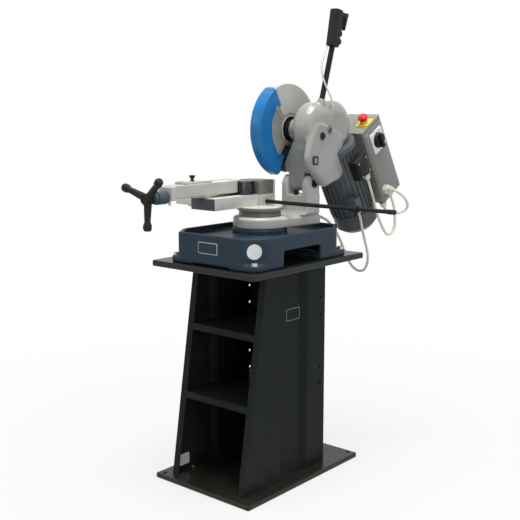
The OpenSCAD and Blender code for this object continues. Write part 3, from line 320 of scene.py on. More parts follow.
def make_brush_lines():
    """Fine lines of a ground or turned face: the place is stretched along the cut."""
    line_share = 0.6
    cloud_scale = 40.0
    tone_low, tone_high = 0.35, 0.65
    inputs = {"Place": None, "Stretch": None}
    group, given, result = new_group("brush_lines", inputs, ("Height", "Tone"))
    stretch = group.nodes.new("ShaderNodeVectorMath")
    stretch.operation = "MULTIPLY"
    join(group, given["Place"], stretch.inputs[0])
    join(group, given["Stretch"], stretch.inputs[1])
    lines = noise_in(group, stretch.outputs[0], 1.0, detail=4)
    join(group, lines, result["Height"])
    cloud = noise_in(group, given["Place"], cloud_scale, detail=4)
    tone = weighed(group, lines, cloud, line_share)
    join(group, spread(group, tone, tone_low, tone_high), result["Tone"])
    return group


def make_dust_film():
    """Dust that settles towards the lower end of a height range."""
    cloud_scale = 22.0
    cloud_low, cloud_high = 0.38, 0.7
    inputs = {"Place": None, "Low": 0.0, "High": 0.2}
    group, given, result = new_group("dust_film", inputs, ("Mask",))
    height = split_place(group, given["Place"])["Z"]
    settled = spread(group, height, given["Low"], given["High"], to_low=1.0, to_high=0.0)
    cloud = spread(group, noise_in(group, given["Place"], cloud_scale, detail=6), cloud_low, cloud_high)
    join(group, math_in(group, "MULTIPLY", settled, cloud, clamp=True), result["Mask"])
    return group


CAST_PEEL = make_cast_peel()
RUB_MARKS = make_rub_marks()
BRUSH_LINES = make_brush_lines()
DUST_FILM = make_dust_film()


# Materials

# The Mix node's sockets for two colours and for what they make
MIX_COLOURS = (6, 7)
MIX_RESULT = 2


def start_material(name):
    """A new material, its nodes, its shader and the place on the object."""
    material = bpy.data.materials.new(name)
    material.use_nodes = True
    tree = material.node_tree
    place = tree.nodes.new("ShaderNodeTexCoord").outputs["Object"]
    return material, tree, tree.nodes["Principled BSDF"], place


def effect(tree, group, place, **values):
    """A shared effect placed in a material with its own values."""
    node = tree.nodes.new("ShaderNodeGroup")
    node.node_tree = group
    join(tree, place, node.inputs["Place"])
    for label, value in values.items():
        node.inputs[label].default_value = value
    return node.outputs


def tint(tree, mask, first, second):
    """A colour that goes from the first to the second with the mask; each is a colour or a socket."""
    mix = tree.nodes.new("ShaderNodeMix")
    mix.data_type = "RGBA"
    join(tree, mask, mix.inputs["Factor"])
    for i, colour in zip(MIX_COLOURS, (first, second)):
        if isinstance(colour, tuple):
            mix.inputs[i].default_value = (*colour, 1)
        else:
            join(tree, colour, mix.inputs[i])
    return mix.outputs[MIX_RESULT]


def shade(colour, strength):
    return tuple(min(1.0, c * strength) for c in colour)


def mottled(tree, tone, colour, dark, pale):
    """A colour that goes from a darker to a paler one with the tone."""
    return tint(tree, tone, shade(colour, dark), shade(colour, pale))


def bump(tree, shader, height, strength, distance):
    node = tree.nodes.new("ShaderNodeBump")
    node.inputs["Strength"].default_value = strength
    node.inputs["Distance"].default_value = distance
    join(tree, height, node.inputs["Height"])
    join(tree, node.outputs["Normal"], shader.inputs["Normal"])


def painted(name, colour, rough, coat=0.0, fine=520.0, lump=90.0, strength=0.22, wear=0.25,
            under=(0.12, 0.12, 0.12), dust=None, shine=0.12, foot=None):
    """Paint on metal: orange peel, a slow change of tone, scuffs and, low down, dust or another colour that can
    hold painted shade.
    """
    scuff_cover, scuff_dulling = 0.55, 0.15
    dust_cover = 0.5
    coat_rough = 0.15
    material, tree, shader, place = start_material(name)
    peel = effect(tree, CAST_PEEL, place, Fine=fine, Lump=lump)
    rubbed = effect(tree, RUB_MARKS, place, Amount=wear)["Mask"]
    base = mottled(tree, peel["Tone"], colour, dark=0.88, pale=1.08)
    base = tint(tree, times(tree, rubbed, scuff_cover), base, under)
    # Below the foot's top the colour turns to another one; on the vise bed's disc it is partly the disc's own
    # grey, partly painted shade under the bed.
    if foot:
        foot_top, foot_colour_and_painted_shade = foot
        below = math_in(tree, "LESS_THAN", split_place(tree, place)["Z"], foot_top)
        base = tint(tree, below, base, foot_colour_and_painted_shade)
    if dust:
        dust_low, dust_high, dust_colour = dust
        film = effect(tree, DUST_FILM, place, Low=dust_low, High=dust_high)["Mask"]
        base = tint(tree, times(tree, film, dust_cover), base, dust_colour)
    join(tree, base, shader.inputs["Base Color"])
    gloss = spread(tree, peel["Tone"], to_low=rough - 0.06, to_high=rough + 0.07)
    dulled = math_in(tree, "ADD", gloss, times(tree, rubbed, scuff_dulling), clamp=True)
    join(tree, dulled, shader.inputs["Roughness"])
    shader.inputs["Specular IOR Level"].default_value = shine
    shader.inputs["Coat Weight"].default_value = coat
    shader.inputs["Coat Roughness"].default_value = coat_rough
    bump(tree, shader, peel["Height"], strength, distance=0.0006)
    return material


def machined(name, colour, rough, stretch, metal=1.0):
    """Bare ground or turned metal with lines along the cut and a cloudy tone."""
    material, tree, shader, place = start_material(name)
    lines = effect(tree, BRUSH_LINES, place, Stretch=stretch)
    join(tree, mottled(tree, lines["Tone"], colour, dark=0.78, pale=1.12), shader.inputs["Base Color"])
    gloss = spread(tree, lines["Tone"], to_low=rough + 0.1, to_high=rough - 0.08)
    join(tree, gloss, shader.inputs["Roughness"])
    shader.inputs["Metallic"].default_value = metal
    bump(tree, shader, lines["Height"], strength=0.12, distance=0.0003)
    return material


def moulded(name, colour, rough, fine=900.0, strength=0.25, wear=0.15, shine=0.4):
    """Moulded plastic: a fine even grain and a little handling shine."""
    grain_lump = 260.0
    rub_cover, rub_paling, rub_shine = 0.35, 1.9, 0.12
    material, tree, shader, place = start_material(name)
    grain = effect(tree, CAST_PEEL, place, Fine=fine, Lump=grain_lump)
    rubbed = effect(tree, RUB_MARKS, place, Amount=wear)["Mask"]
    base = mottled(tree, grain["Tone"], colour, dark=0.85, pale=1.15)
    base = tint(tree, times(tree, rubbed, rub_cover), base, shade(colour, rub_paling))
    join(tree, base, shader.inputs["Base Color"])
    gloss = spread(tree, grain["Tone"], to_low=rough - 0.05, to_high=rough + 0.08)
    polished = math_in(tree, "SUBTRACT", gloss, times(tree, rubbed, rub_shine), clamp=True)
    join(tree, polished, shader.inputs["Roughness"])
    shader.inputs["Specular IOR Level"].default_value = shine
    bump(tree, shader, grain["Height"], strength, distance=0.0003)
    return material


def turned_disc(name, colour, rough, centre):
    """Metal ground in circles about an axis along X."""
    drift = 0.02
    stretch = (1400, 60, 60)
    material, tree, shader, place = start_material(name)
    own = split_place(tree, place, centre)
    squares = [times(tree, own[axis], own[axis]) for axis in ("Y", "Z")]
    radius = math_in(tree, "SQRT", math_in(tree, "ADD", *squares))
    ring = tree.nodes.new("ShaderNodeCombineXYZ")
    join(tree, radius, ring.inputs["X"])
    join(tree, times(tree, own["Y"], drift), ring.inputs["Y"])
    lines = effect(tree, BRUSH_LINES, ring.outputs[0], Stretch=stretch)
    join(tree, mottled(tree, lines["Tone"], colour, dark=0.8, pale=1.1), shader.inputs["Base Color"])
    gloss = spread(tree, lines["Tone"], to_low=rough + 0.08, to_high=rough - 0.06)
    join(tree, gloss, shader.inputs["Roughness"])
    shader.inputs["Metallic"].default_value = 1.0
    bump(tree, shader, lines["Height"], strength=0.1, distance=0.0002)
    return material


def graduated(name, colour, mark, centre, low, high, count):
    """A dark ring with pale degree marks round its edge, every fifth one longer."""
    long_every = 5
    short_width, long_width = 0.24, 0.06
    short_top, long_top = (low + (high - low) * share for share in (0.55, 0.85))
    mark_cover = 0.8
    peel_scale = 700.0
    material, tree, shader, place = start_material(name)
    own = split_place(tree, place, centre)
    angle = math_in(tree, "ADD", math_in(tree, "ARCTAN2", own["Y"], own["X"]), math.pi)
    turn = times(tree, angle, count / (2 * math.pi))
    marks = []
    for step, width, top in ((1, short_width, short_top), (long_every, long_width, long_top)):
        within = math_in(tree, "LESS_THAN", math_in(tree, "FRACT", times(tree, turn, 1 / step)), width)
        marks.append(times(tree, within, math_in(tree, "LESS_THAN", own["Z"], top)))
    peel = effect(tree, CAST_PEEL, place, Fine=peel_scale)
    base = mottled(tree, peel["Tone"], colour, dark=0.85, pale=1.15)
    shown = times(tree, math_in(tree, "MAXIMUM", *marks), mark_cover)
    join(tree, tint(tree, shown, base, mark), shader.inputs["Base Color"])
    join(tree, spread(tree, peel["Tone"], to_low=0.36, to_high=0.48), shader.inputs["Roughness"])
    shader.inputs["Metallic"].default_value = 0.4
    bump(tree, shader, peel["Height"], strength=0.1, distance=0.0003)
    return material


finishes = {
    "casting_grey": painted("casting_grey_paint", (0.50, 0.505, 0.48), rough=0.36, coat=0.2, strength=0.2,
                            wear=0.15, under=(0.25, 0.25, 0.24), shine=0.3),
    "base_blue": painted("base_blue_paint", (0.025, 0.043, 0.066), rough=0.36, coat=0.03, strength=0.26,
                         under=(0.08, 0.10, 0.12)),
    "motor_navy": painted("motor_navy_paint", (0.100, 0.112, 0.125), rough=0.38, coat=0.02, strength=0.25,
                          under=(0.07, 0.08, 0.09)),
    "stand_black": painted("stand_dark_paint", (0.0170, 0.0205, 0.0205), rough=0.36, fine=800.0, lump=150.0,
                           strength=0.2, wear=0.15, under=(0.04, 0.043, 0.043),
                           dust=(0.0, 0.16, (0.05, 0.05, 0.044)), shine=0.04),
    "guard_blue": painted("guard_blue_paint", (0.010, 0.165, 0.45), rough=0.24, coat=0.12, fine=700.0,
                          strength=0.1, wear=0.08, under=(0.05, 0.16, 0.4), shine=0.22),
    "black_plastic": moulded("black_plastic_grain", (0.015, 0.015, 0.014), rough=0.46, shine=0.15),
    "black_metal": painted("black_oxide", (0.016, 0.0165, 0.018), rough=0.34, fine=900.0, strength=0.1,
                           wear=0.35, under=(0.09, 0.09, 0.09)),
    "box_grey": painted("box_hammered_paint", (0.225, 0.228, 0.215), rough=0.38, coat=0.05, fine=360.0,
                        lump=190.0, strength=0.4, wear=0.2, under=(0.09, 0.09, 0.09), shine=0.25),
    "steel": machined("ground_steel", (0.50, 0.50, 0.48), rough=0.3, stretch=(60, 60, 1500)),
    "jaw_iron": machined("jaw_iron_ground", (0.055, 0.057, 0.062), rough=0.2, stretch=(900, 60, 60),
                         metal=0.9),
    "insert_iron": machined("insert_iron_ground", (0.21, 0.205, 0.19), rough=0.42, stretch=(70, 70, 1300),
                            metal=0.4),
    "bronze": machined("bronze_turned", (0.6, 0.42, 0.17), rough=0.35, stretch=(900, 80, 80)),
    "cream": moulded("cream_sheath", (0.70, 0.67, 0.58), rough=0.42, fine=1200.0, strength=0.12, wear=0.1),
    "white_plate": moulded("pale_plate", (0.80, 0.81, 0.84), rough=0.34, strength=0.08, wear=0.05),
    "red": moulded("red_mushroom", (0.58, 0.014, 0.012), rough=0.28, strength=0.06, wear=0.05),
    "yellow": moulded("yellow_plate", (0.80, 0.58, 0.03), rough=0.36, strength=0.08, wear=0.05),
}

# Finishes of single nodes and pieces that differ from the rest of their slot
RING_MARKS = 180
BED_FOOT_HIGH = 0.0079
# The head's grey is darker than the other castings: partly its own cooler paint, partly painted shade on its flat
# face.
head_paint_and_painted_shade = painted("head_grey_paint_and_painted_shade", (0.300, 0.306, 0.300), rough=0.33, coat=0.5, strength=0.16,
                     wear=0.12, under=(0.25, 0.25, 0.25), shine=0.3)
special = {
    "gear_housing": head_paint_and_painted_shade,
    "housing_cover": head_paint_and_painted_shade,
    "saw_blade": turned_disc("blade_ground", (0.42, 0.42, 0.41), rough=0.3, centre=SPINDLE),
    "scale_ring": graduated("degree_ring", (0.075, 0.078, 0.074), mark=(0.45, 0.45, 0.42),
                            centre=(SWIVEL[0], SWIVEL[1], 0), low=RING_LOW, high=RING_HIGH,
                            count=RING_MARKS),
    "fixed_guard": painted("guard_grey_paint", (0.50, 0.505, 0.485), rough=0.36, coat=0.1, strength=0.12,
                           under=(0.2, 0.2, 0.2), shine=0.3),
    "guard_arm": painted("guard_arm_paint", (0.27, 0.275, 0.27), rough=0.38, strength=0.12,
                         under=(0.2, 0.2, 0.2)),
    "table_plate": painted("table_dark_paint", (0.0165, 0.0185, 0.0190), rough=0.30, coat=0.15, fine=800.0,
                           strength=0.2, under=(0.06, 0.06, 0.055)),
    "base_plate": painted("floor_plate_paint", (0.024, 0.024, 0.020), rough=0.30, coat=0.15, fine=800.0,
                          strength=0.2, under=(0.06, 0.06, 0.055)),
    # The back panel is paler than the stand's own paint: painted light on the shaded inside of the stand.
    "back_panel": painted("back_painted_light_paint", (0.030, 0.035, 0.036), rough=0.4, fine=800.0, strength=0.2,
                          wear=0.15, under=(0.05, 0.053, 0.053), shine=0.04),
    # Its disc is darker: partly the disc's own grey, partly painted shade under the bed.
    "vise_bed": painted("bed_grey_paint", (0.60, 0.595, 0.56), rough=0.36, coat=0.2, strength=0.2, wear=0.15,
                        under=(0.25, 0.25, 0.24), shine=0.3,
                        foot=(BED_LOW + BED_FOOT_HIGH, (0.20, 0.205, 0.195))),
    "screw_sleeve": painted("sleeve_blue_paint", (0.062, 0.088, 0.112), rough=0.36, coat=0.04,
                            under=(0.12, 0.14, 0.16)),
    "vise_screw": finishes["black_metal"],
    "vise_end_plate": painted("end_plate_slate", (0.072, 0.080, 0.096), rough=0.4, strength=0.12,
                              under=(0.1, 0.1, 0.1)),
}
level_green = moulded("level_glass_green", (0.055, 0.062, 0.045), rough=0.12, strength=0.02, wear=0.02)
side_grey = painted("side_plate_grey", (0.34, 0.35, 0.35), rough=0.4, strength=0.08, wear=0.1,
                    under=(0.16, 0.16, 0.16))


def finish_of(node):
    return special.get(node) or finishes[slot_of[node]]


for name, node in nodes.items():
    node.data.materials.clear()
    node.data.materials.append(finish_of(name))


def pick(piece):
    """Makes a piece active and the only one that is selected."""
    bpy.ops.object.select_all(action="DESELECT")
    piece.select_set(True)
    bpy.context.view_layer.objects.active = piece


# Leads, with their routes in millimetres

LEAD_THICK = 0.008
HANDLE_LEAD_THICK = 0.005
LEAD_ROUNDNESS = 3
ROUTE_STEPS = 6
SUPPLY_ROUTE = [
    (159, 271, 761), (159, 276, 753), (159, 283, 738), (158, 292, 716), (157, 304, 690), (156, 318, 660),
    (155, 331, 628), (148, 342, 596), (132, 348, 572), (110, 350, 566), (88, 347, 578), (74, 340, 604),
    (67, 329, 634), (63, 310, 670), (62, 282, 703), (63, 249, 728), (65, 214, 743), (66, 186, 752),
    (66, 162, 756), (66, 141, 756)]
MOTOR_ROUTE = [
    (175, 292, 862), (175, 297, 853), (176, 306, 834), (178, 318, 805), (180, 329, 776), (182, 341, 748),
    (184, 357, 720), (186, 378, 692), (187, 399, 682), (188, 419, 690), (188, 430, 712), (186, 432, 740),
    (181, 433, 768), (174, 431, 790), (173, 426, 799)]
BOX_ROUTE = [
    (186, 413, 820), (196, 414, 818), (204, 422, 811), (209, 437, 801), (210, 455, 787), (208, 470, 771),
    (202, 474, 756), (190, 464, 746), (176, 453, 743), (162, 447, 744), (152, 441, 749), (147, 435, 757),
    (147, 430, 765)]
HANDLE_ROUTE = [
    (116, 163, 1247), (116, 160, 1236), (117, 150, 1222), (118, 140, 1206), (121, 131, 1188),
    (125, 127, 1170), (130, 126, 1152), (136, 129, 1134), (141, 136, 1116), (144, 143, 1102),
    (144, 149, 1091), (143, 152, 1080), (141, 157, 1060)]


def smooth_route(points):
    """Points in metres along one smooth curve through a route in millimetres."""
    p = [Vector(q) / 1000 for q in points]
    p = [p[0] * 2 - p[1]] + p + [p[-1] * 2 - p[-2]]
    out = []
    for a, b, c, d in zip(p, p[1:], p[2:], p[3:]):
        for i in range(ROUTE_STEPS):
            t = i / ROUTE_STEPS
            out.append(0.5 * (2 * b + (c - a) * t + (2 * a - 5 * b + 4 * c - d) * t ** 2
                              + (3 * b - a - 3 * c + d) * t ** 3))
    return out + [p[-2]]


def make_lead(name, node, route, diameter):
    path = smooth_route(route)
    data = bpy.data.curves.new(name, "CURVE")
    data.dimensions = "3D"
    data.bevel_depth = diameter / 2
    data.bevel_resolution = LEAD_ROUNDNESS
    data.use_fill_caps = True
    spline = data.splines.new("POLY")
    spline.points.add(len(path) - 1)
    for point, q in zip(spline.points, path):
        point.co = (*q, 1)
    lead = bpy.data.objects.new(name, data)
    scene.collection.objects.link(lead)
    pick(lead)
    bpy.ops.object.convert(target="MESH")
    lead = bpy.context.object
    lead.name = name
    bpy.ops.object.shade_smooth()
    lead.data.materials.clear()
    lead.data.materials.append(finishes["cream"])
    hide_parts(node)
    return lead


# The supply lead hangs from the head to the turret and is left on no body
supply = make_lead("supply_cable", "supply_lead", SUPPLY_ROUTE, LEAD_THICK)
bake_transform(supply)
for name, node, route, diameter in (
    ("motor_cable", "motor_lead", MOTOR_ROUTE, LEAD_THICK),
    ("box_cable", "box_lead", BOX_ROUTE, LEAD_THICK),
    ("handle_cable", "handle_lead", HANDLE_ROUTE, HANDLE_LEAD_THICK),
):
    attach(make_lead(name, node, route, diameter), "head")


# Skins: copies of the solids, merged and given soft cast or broken edges

MERGE_WITHIN = 0.00002
FLAT_WITHIN = math.radians(0.6)
EDGE_FROM = math.radians(40)
EDGE_SEGMENTS = 2
SKIN_SMOOTH_TO = math.radians(32)
SOFTENING = 0.5


def copy_of(node):
    """A copy of a solid with its doubles merged, active and selected alone."""
    skin = nodes[node].copy()
    skin.data = nodes[node].data.copy()
    skin.name = node + "_skin"
    skin.parent = None
    skin.matrix_world = Matrix.Identity(4)
    scene.collection.objects.link(skin)
    pick(skin)
    bpy.ops.object.mode_set(mode="EDIT")
    bpy.ops.mesh.select_all(action="SELECT")
    bpy.ops.mesh.remove_doubles(threshold=MERGE_WITHIN)
    bpy.ops.object.mode_set(mode="OBJECT")
    return skin


def stand_for(skin, node):
    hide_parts(node)
    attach(skin, body_of[node])


def cast_skin(*members, voxel, rounds, shape=None, notch=None):
    """A cast form over one or more solids: remeshed fine and smoothed, so that its edges run soft."""
    copies = [copy_of(node) for node in members]
    for part in copies:
        part.select_set(True)
    skin = copies[-1]
    if len(copies) > 1:
        bpy.ops.object.join()
    if shape:
        shape(skin)
    remesh = skin.modifiers.new("fine", "REMESH")
    remesh.mode = "VOXEL"
    remesh.voxel_size = voxel
    remesh.use_smooth_shade = True
    bpy.ops.object.modifier_apply(modifier="fine")
    if notch:
        carve(skin, *notch)
    soften = skin.modifiers.new("soften", "SMOOTH")
    soften.factor = SOFTENING
    soften.iterations = rounds
    bpy.ops.object.modifier_apply(modifier="soften")
    bpy.ops.object.shade_smooth()
    for node in members:
        stand_for(skin, node)


def edged_skin(node, width):
    """A sheet or machined form: its flat faces joined and its edges broken."""
    skin = copy_of(node)
    bpy.ops.object.mode_set(mode="EDIT")
    bpy.ops.mesh.select_all(action="SELECT")
    bpy.ops.mesh.dissolve_limited(angle_limit=FLAT_WITHIN)
    bpy.ops.object.mode_set(mode="OBJECT")
    rim = skin.modifiers.new("edge", "BEVEL")
    rim.limit_method = "ANGLE"
    rim.angle_limit = EDGE_FROM
    rim.width = width
    rim.segments = EDGE_SEGMENTS
    rim.use_clamp_overlap = True
    rim.harden_normals = False
    bpy.ops.object.modifier_apply(modifier="edge")
    bpy.ops.object.shade_smooth_by_angle(angle=SKIN_SMOOTH_TO)
    stand_for(skin, node)


# The grip's own shape, in bands and shifts of the grip frame

ANYWHERE = (-1, 1)
LOOP_Y = (0.030, 1)
LOOP_ROOF_Z = (0.085, 0.095)
LOOP_ROOF_SHIFT = (0, 0, -0.005)
LOOP_NOSE_Y, LOOP_NOSE_Z = (0.040, 1), (0.100, 1)
LOOP_NOSE_SHIFT = (0, -0.002, -0.007)
LOOP_BAR_Y, LOOP_BAR_Z = (0.033, 0.037), (-1, 0.095)
LOOP_BAR_SHIFT = (0, 0.0055, 0)
LOOP_FOOT_Z = (-1, 0.050)
LOOP_FOOT_SHIFT = (0, 0, 0.0105)
LOOP_FLANK_X = (0.006, 1)
LOOP_THINNING = 0.005
POCKET_X, POCKET_Y, POCKET_Z = (-0.0085, 0.0085), (-1, 0.0185), (0.050, 0.082)
POCKET_WALL_X = (0.0065, 0.0075)
POCKET_FLOOR_Z, POCKET_ROOF_Z = (0.053, 0.055), (0.077, 0.079)
POCKET_BACK_Y = (0.004, 0.006)
POCKET_WALL_ROOM = 0.0009
POCKET_ROOM = 0.0012
RIDGE_HEIGHTS = (0.016, 0.039)
RIDGE_Y = 0.0120
RIDGE_RADIUS = 0.0094
RIDGE_WIDE = 0.0296
RIDGE_SIDES = 32
CURL_PLACE = (0, 0.0365, 0.0595)
CURL_SIZE = (0.008, 0.019, 0.0062)
NOTCH_PLACE = (0, 0.0240, 0.0685)
NOTCH_SIZE = (0.040, 0.0225, 0.0230)


def flank(side, band):
    """A band across the grip, or its mirror image on the other side."""
    return band if side > 0 else (-band[1], -band[0])


def nudge(piece, shift, x=ANYWHERE, y=ANYWHERE, z=ANYWHERE):
    """Moves the points of the grip's copy that lie in three bands by a shift, all in the grip frame."""
    bpy.ops.object.mode_set(mode="OBJECT")
    c, s = math.cos(GRIP_LEAN), math.sin(GRIP_LEAN)
    for point in piece.data.vertices:
        across, back, high = (v - foot for v, foot in zip(point.co, GRIP_FOOT))
        own = (across, back * c + high * s, high * c - back * s)
        point.select = all(low < v < top for v, (low, top) in zip(own, (x, y, z)))
    bpy.ops.object.mode_set(mode="EDIT")
    bpy.ops.mesh.select_mode(type="VERT")
    bpy.ops.transform.translate(value=leaned((0, 0, 0), GRIP_LEAN, *shift))


def carve(piece, place, size):
    """Cuts a block that leans with the grip out of its copy."""
    bpy.ops.mesh.primitive_cube_add(size=1, location=place, rotation=(GRIP_LEAN, 0, 0), scale=size)
    block = bpy.context.object
    cut = piece.modifiers.new("cut", "BOOLEAN")
    cut.operation = "DIFFERENCE"
    cut.object = block
    pick(piece)
    bpy.ops.object.modifier_apply(modifier="cut")
    bpy.data.objects.remove(block)


def shape_grip(piece):
    """Slopes and thins the trigger loop, opens the trigger's pocket, adds finger ridges and a curl."""
    for item in (*piece.data.edges, *piece.data.polygons):
        item.select = False
    nudge(piece, LOOP_ROOF_SHIFT, y=LOOP_Y, z=LOOP_ROOF_Z)
    nudge(piece, LOOP_NOSE_SHIFT, y=LOOP_NOSE_Y, z=LOOP_NOSE_Z)
    nudge(piece, LOOP_BAR_SHIFT, y=LOOP_BAR_Y, z=LOOP_BAR_Z)
    for side in (-1, 1):
        nudge(piece, (-side * LOOP_THINNING, 0, 0), flank(side, LOOP_FLANK_X), LOOP_Y)
        nudge(piece, (side * POCKET_WALL_ROOM, 0, 0), flank(side, POCKET_WALL_X), POCKET_Y, POCKET_Z)
    nudge(piece, (0, 0, -POCKET_ROOM), POCKET_X, POCKET_Y, POCKET_FLOOR_Z)
    nudge(piece, (0, 0, POCKET_ROOM), POCKET_X, POCKET_Y, POCKET_ROOF_Z)
    nudge(piece, (0, -POCKET_ROOM, 0), POCKET_X, POCKET_BACK_Y, POCKET_Z)
    nudge(piece, LOOP_FOOT_SHIFT, y=LOOP_Y, z=LOOP_FOOT_Z)
    # Added in edit mode, so that they join the grip's mesh and the remesh runs them together
    for z in RIDGE_HEIGHTS:
        bpy.ops.mesh.primitive_cylinder_add(vertices=RIDGE_SIDES, radius=RIDGE_RADIUS, depth=RIDGE_WIDE,
                                            location=on_grip(0, RIDGE_Y, z),
                                            rotation=(0, math.radians(90), 0))
    bpy.ops.mesh.primitive_cube_add(size=1, location=on_grip(*CURL_PLACE), rotation=(GRIP_LEAN, 0, 0),
                                    scale=CURL_SIZE)
    bpy.ops.object.mode_set(mode="OBJECT")


# Voxel size and rounds of smoothing of the plain cast forms, and the width of the broken edges
CAST_FORMS = {
    "turret": (0.0024, 7),
    "base_casting": (0.0032, 3),
    "vise_arm": (0.0018, 5),
    "arm_end_block": (0.0015, 5),
    "handwheel": (0.0014, 4),
    "table_plate": (0.0028, 7),
    "base_plate": (0.0026, 4),
}
EDGE_WIDTHS = {
    "upper_shelf": 0.001,
    "lower_shelf": 0.001,
    "control_box": 0.003,
    "terminal_box": 0.0025,
    "vise_bed": 0.0016,
    "fixed_jaw": 0.0016,
    "moving_jaw": 0.001,
    "fixed_jaw_insert": 0.001,
    "vise_end_plate": 0.0008,
    "clamp_plate": 0.0008,
    "switch_plate": 0.001,
    "estop_plate": 0.0006,
    "trigger": 0.0018,
}
cast_skin("gear_housing", "housing_cover", voxel=0.0022, rounds=16)
cast_skin("handle_grip", voxel=0.0011, rounds=7, shape=shape_grip,
          notch=(on_grip(*NOTCH_PLACE), NOTCH_SIZE))
for node, (voxel, rounds) in CAST_FORMS.items():
    cast_skin(node, voxel=voxel, rounds=rounds)
for node, width in EDGE_WIDTHS.items():
    edged_skin(node, width)


# Small pieces that the solids leave out

PIECE_SMOOTH_TO = math.radians(35)
PLATE_CORNER, PLATE_CORNER_SEGMENTS = 0.14, 4
PLATE_RIM, PLATE_DISH = 0.0014, 0.35
FACE_STEP = 0.0002
DISC_SIDES, DISC_RIM, DISC_DISH = 48, 0.1, 0.4
SCREW_SIDES = 24
SCREW_SHOULDER, SCREW_TOP = 0.75, 0.86
SOCKET_WALL, SOCKET_DEEP = 0.34, 0.5
WEB_SIDES = 96


def begin_edit(name):
    piece = bpy.context.object
    piece.name = name
    bpy.ops.object.mode_set(mode="EDIT")
    return piece


def begin_disc(name, radius, sides):
    """A flat disc in edit mode, selected all over."""
    bpy.ops.object.select_all(action="DESELECT")
    bpy.ops.mesh.primitive_circle_add(vertices=sides, radius=radius, fill_type="NGON")
    piece = begin_edit(name)
    bpy.ops.mesh.select_all(action="SELECT")
    return piece


def extrude(high):
    bpy.ops.mesh.extrude_region_move(TRANSFORM_OT_translate={"value": (0, 0, high)})


def sink_middle(rim, deep):
    """Insets the selected face by a rim and sinks what is inside it."""
    bpy.ops.mesh.inset(thickness=rim, depth=0)
    extrude(-deep)


def facing(place, normal, up):
    """A placing whose local Z is the normal and whose local Y is as near up as it can be."""
    z = Vector(normal).normalized()
    x = Vector(up).cross(z).normalized()
    y = z.cross(x)
    return Matrix.Translation(Vector(place)) @ Matrix((x, y, z)).transposed().to_4x4()


def end_piece(piece, body, slot, finish, place, normal, up=UP):
    """Turns the faces outwards, puts the place into the mesh and hangs the piece on its body."""
    bpy.ops.mesh.select_all(action="SELECT")
    bpy.ops.mesh.normals_make_consistent(inside=False)
    bpy.ops.object.mode_set(mode="OBJECT")
    piece.matrix_world = facing(place, normal, up)
    bpy.context.view_layer.update()
    bpy.ops.object.transform_apply(location=True, rotation=True, scale=True)
    bpy.ops.object.shade_smooth_by_angle(angle=PIECE_SMOOTH_TO)
    piece.data.materials.clear()
    piece.data.materials.append(finish or finishes[slot])
    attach(piece, body)


def bare_plate(name, size, thick, place, normal, body, slot, finish=None, rim=PLATE_RIM, up=UP):
    """A blank plate with rounded corners and a raised rim."""
    bpy.ops.object.select_all(action="DESELECT")
    bpy.ops.mesh.primitive_plane_add(size=1)
    piece = begin_edit(name)
    bpy.ops.transform.resize(value=(size[0], size[1], 1))
    bpy.ops.mesh.bevel(offset=min(size) * PLATE_CORNER, segments=PLATE_CORNER_SEGMENTS, affect="VERTICES")
    bpy.ops.mesh.select_all(action="SELECT")
    extrude(thick)
    sink_middle(rim, thick * PLATE_DISH)
    end_piece(piece, body, slot, finish, place, normal, up)


def bordered_plate(name, size, border, thick, place, normal, face_slot, edge_finish=None):
    """A blank plate of the stand with a pale edge, and its darker face a little proud of it."""
    bare_plate(name, size, thick, place, normal, "stand", "white_plate", edge_finish)
    face_size = [v - 2 * border for v in size]
    face_place = Vector(place) + Vector(normal) * FACE_STEP
    bare_plate(name + "_face", face_size, thick, face_place, normal, "stand", face_slot)


def round_plate(name, radius, thick, place, normal, body, slot, finish=None):
    """A blank round plate with a shallow dished middle."""
    piece = begin_disc(name, radius, DISC_SIDES)
    extrude(thick)
    sink_middle(radius * DISC_RIM, thick * DISC_DISH)
    end_piece(piece, body, slot, finish, place, normal)


def socket_screw(name, radius, high, place, slot="steel"):
    """A screw's head on the right of the saw's head, with a chamfered rim and a round socket."""
    piece = begin_disc(name, radius, SCREW_SIDES)
    extrude(high * SCREW_SHOULDER)
    extrude(high * (1 - SCREW_SHOULDER))
    bpy.ops.transform.resize(value=(SCREW_TOP, SCREW_TOP, 1))
    sink_middle(radius * SOCKET_WALL, high * SOCKET_DEEP)
    end_piece(piece, "head", slot, None, place, RIGHT)
    return piece


def corner_screws(name, radius, high, face, columns, rows):
    """The screws of a lid's four corners, in the motor frame."""
    for i, (y, z) in enumerate((y, z) for z in rows for y in columns):
        socket_screw(f"{name}_{i}", radius, high, on_motor(face, y, z))


def guard_web(name, inner, outer, from_angle, to_angle, x, thick):
    """A flat sector about the spindle, in degrees from upright towards the front."""
    piece = begin_disc(name, outer, WEB_SIDES)
    bpy.ops.mesh.inset(thickness=outer - inner, depth=0)
    bpy.ops.mesh.delete(type="FACE")
    for angle, side in ((from_angle, 1), (to_angle, -1)):
        bpy.ops.mesh.select_all(action="SELECT")
        a = math.radians(angle)
        bpy.ops.mesh.bisect(plane_co=(0, 0, 0), plane_no=(side * math.cos(a), side * math.sin(a), 0),
                            clear_outer=True)
    bpy.ops.mesh.select_all(action="SELECT")
    extrude(thick)
    end_piece(piece, body_of["guard_arm"], slot_of["guard_arm"], finish_of("guard_arm"),
              (x, SPINDLE[1], SPINDLE[2]), RIGHT)


# Tray: the plate on its front and the disc on its right front chamfer
FRONT_PLATE = (0.0142, TRAY_FRONT, 0.6955)
CORNER_DISC = (0.1571, -0.2036, 0.6973)
CHAMFER_OUT = (57, -39, 0)
bordered_plate("front_plate", (0.070, 0.031), border=0.0012, thick=0.0012, place=FRONT_PLATE, normal=FRONT,
               face_slot="base_blue")
round_plate("corner_disc", radius=0.0205, thick=0.0010, place=CORNER_DISC, normal=CHAMFER_OUT,
            body="stand", slot="white_plate")

# Guard
guard_web("guard_web", inner=0.0440, outer=0.0840, from_angle=45, to_angle=140, x=0.0288, thick=0.0014)

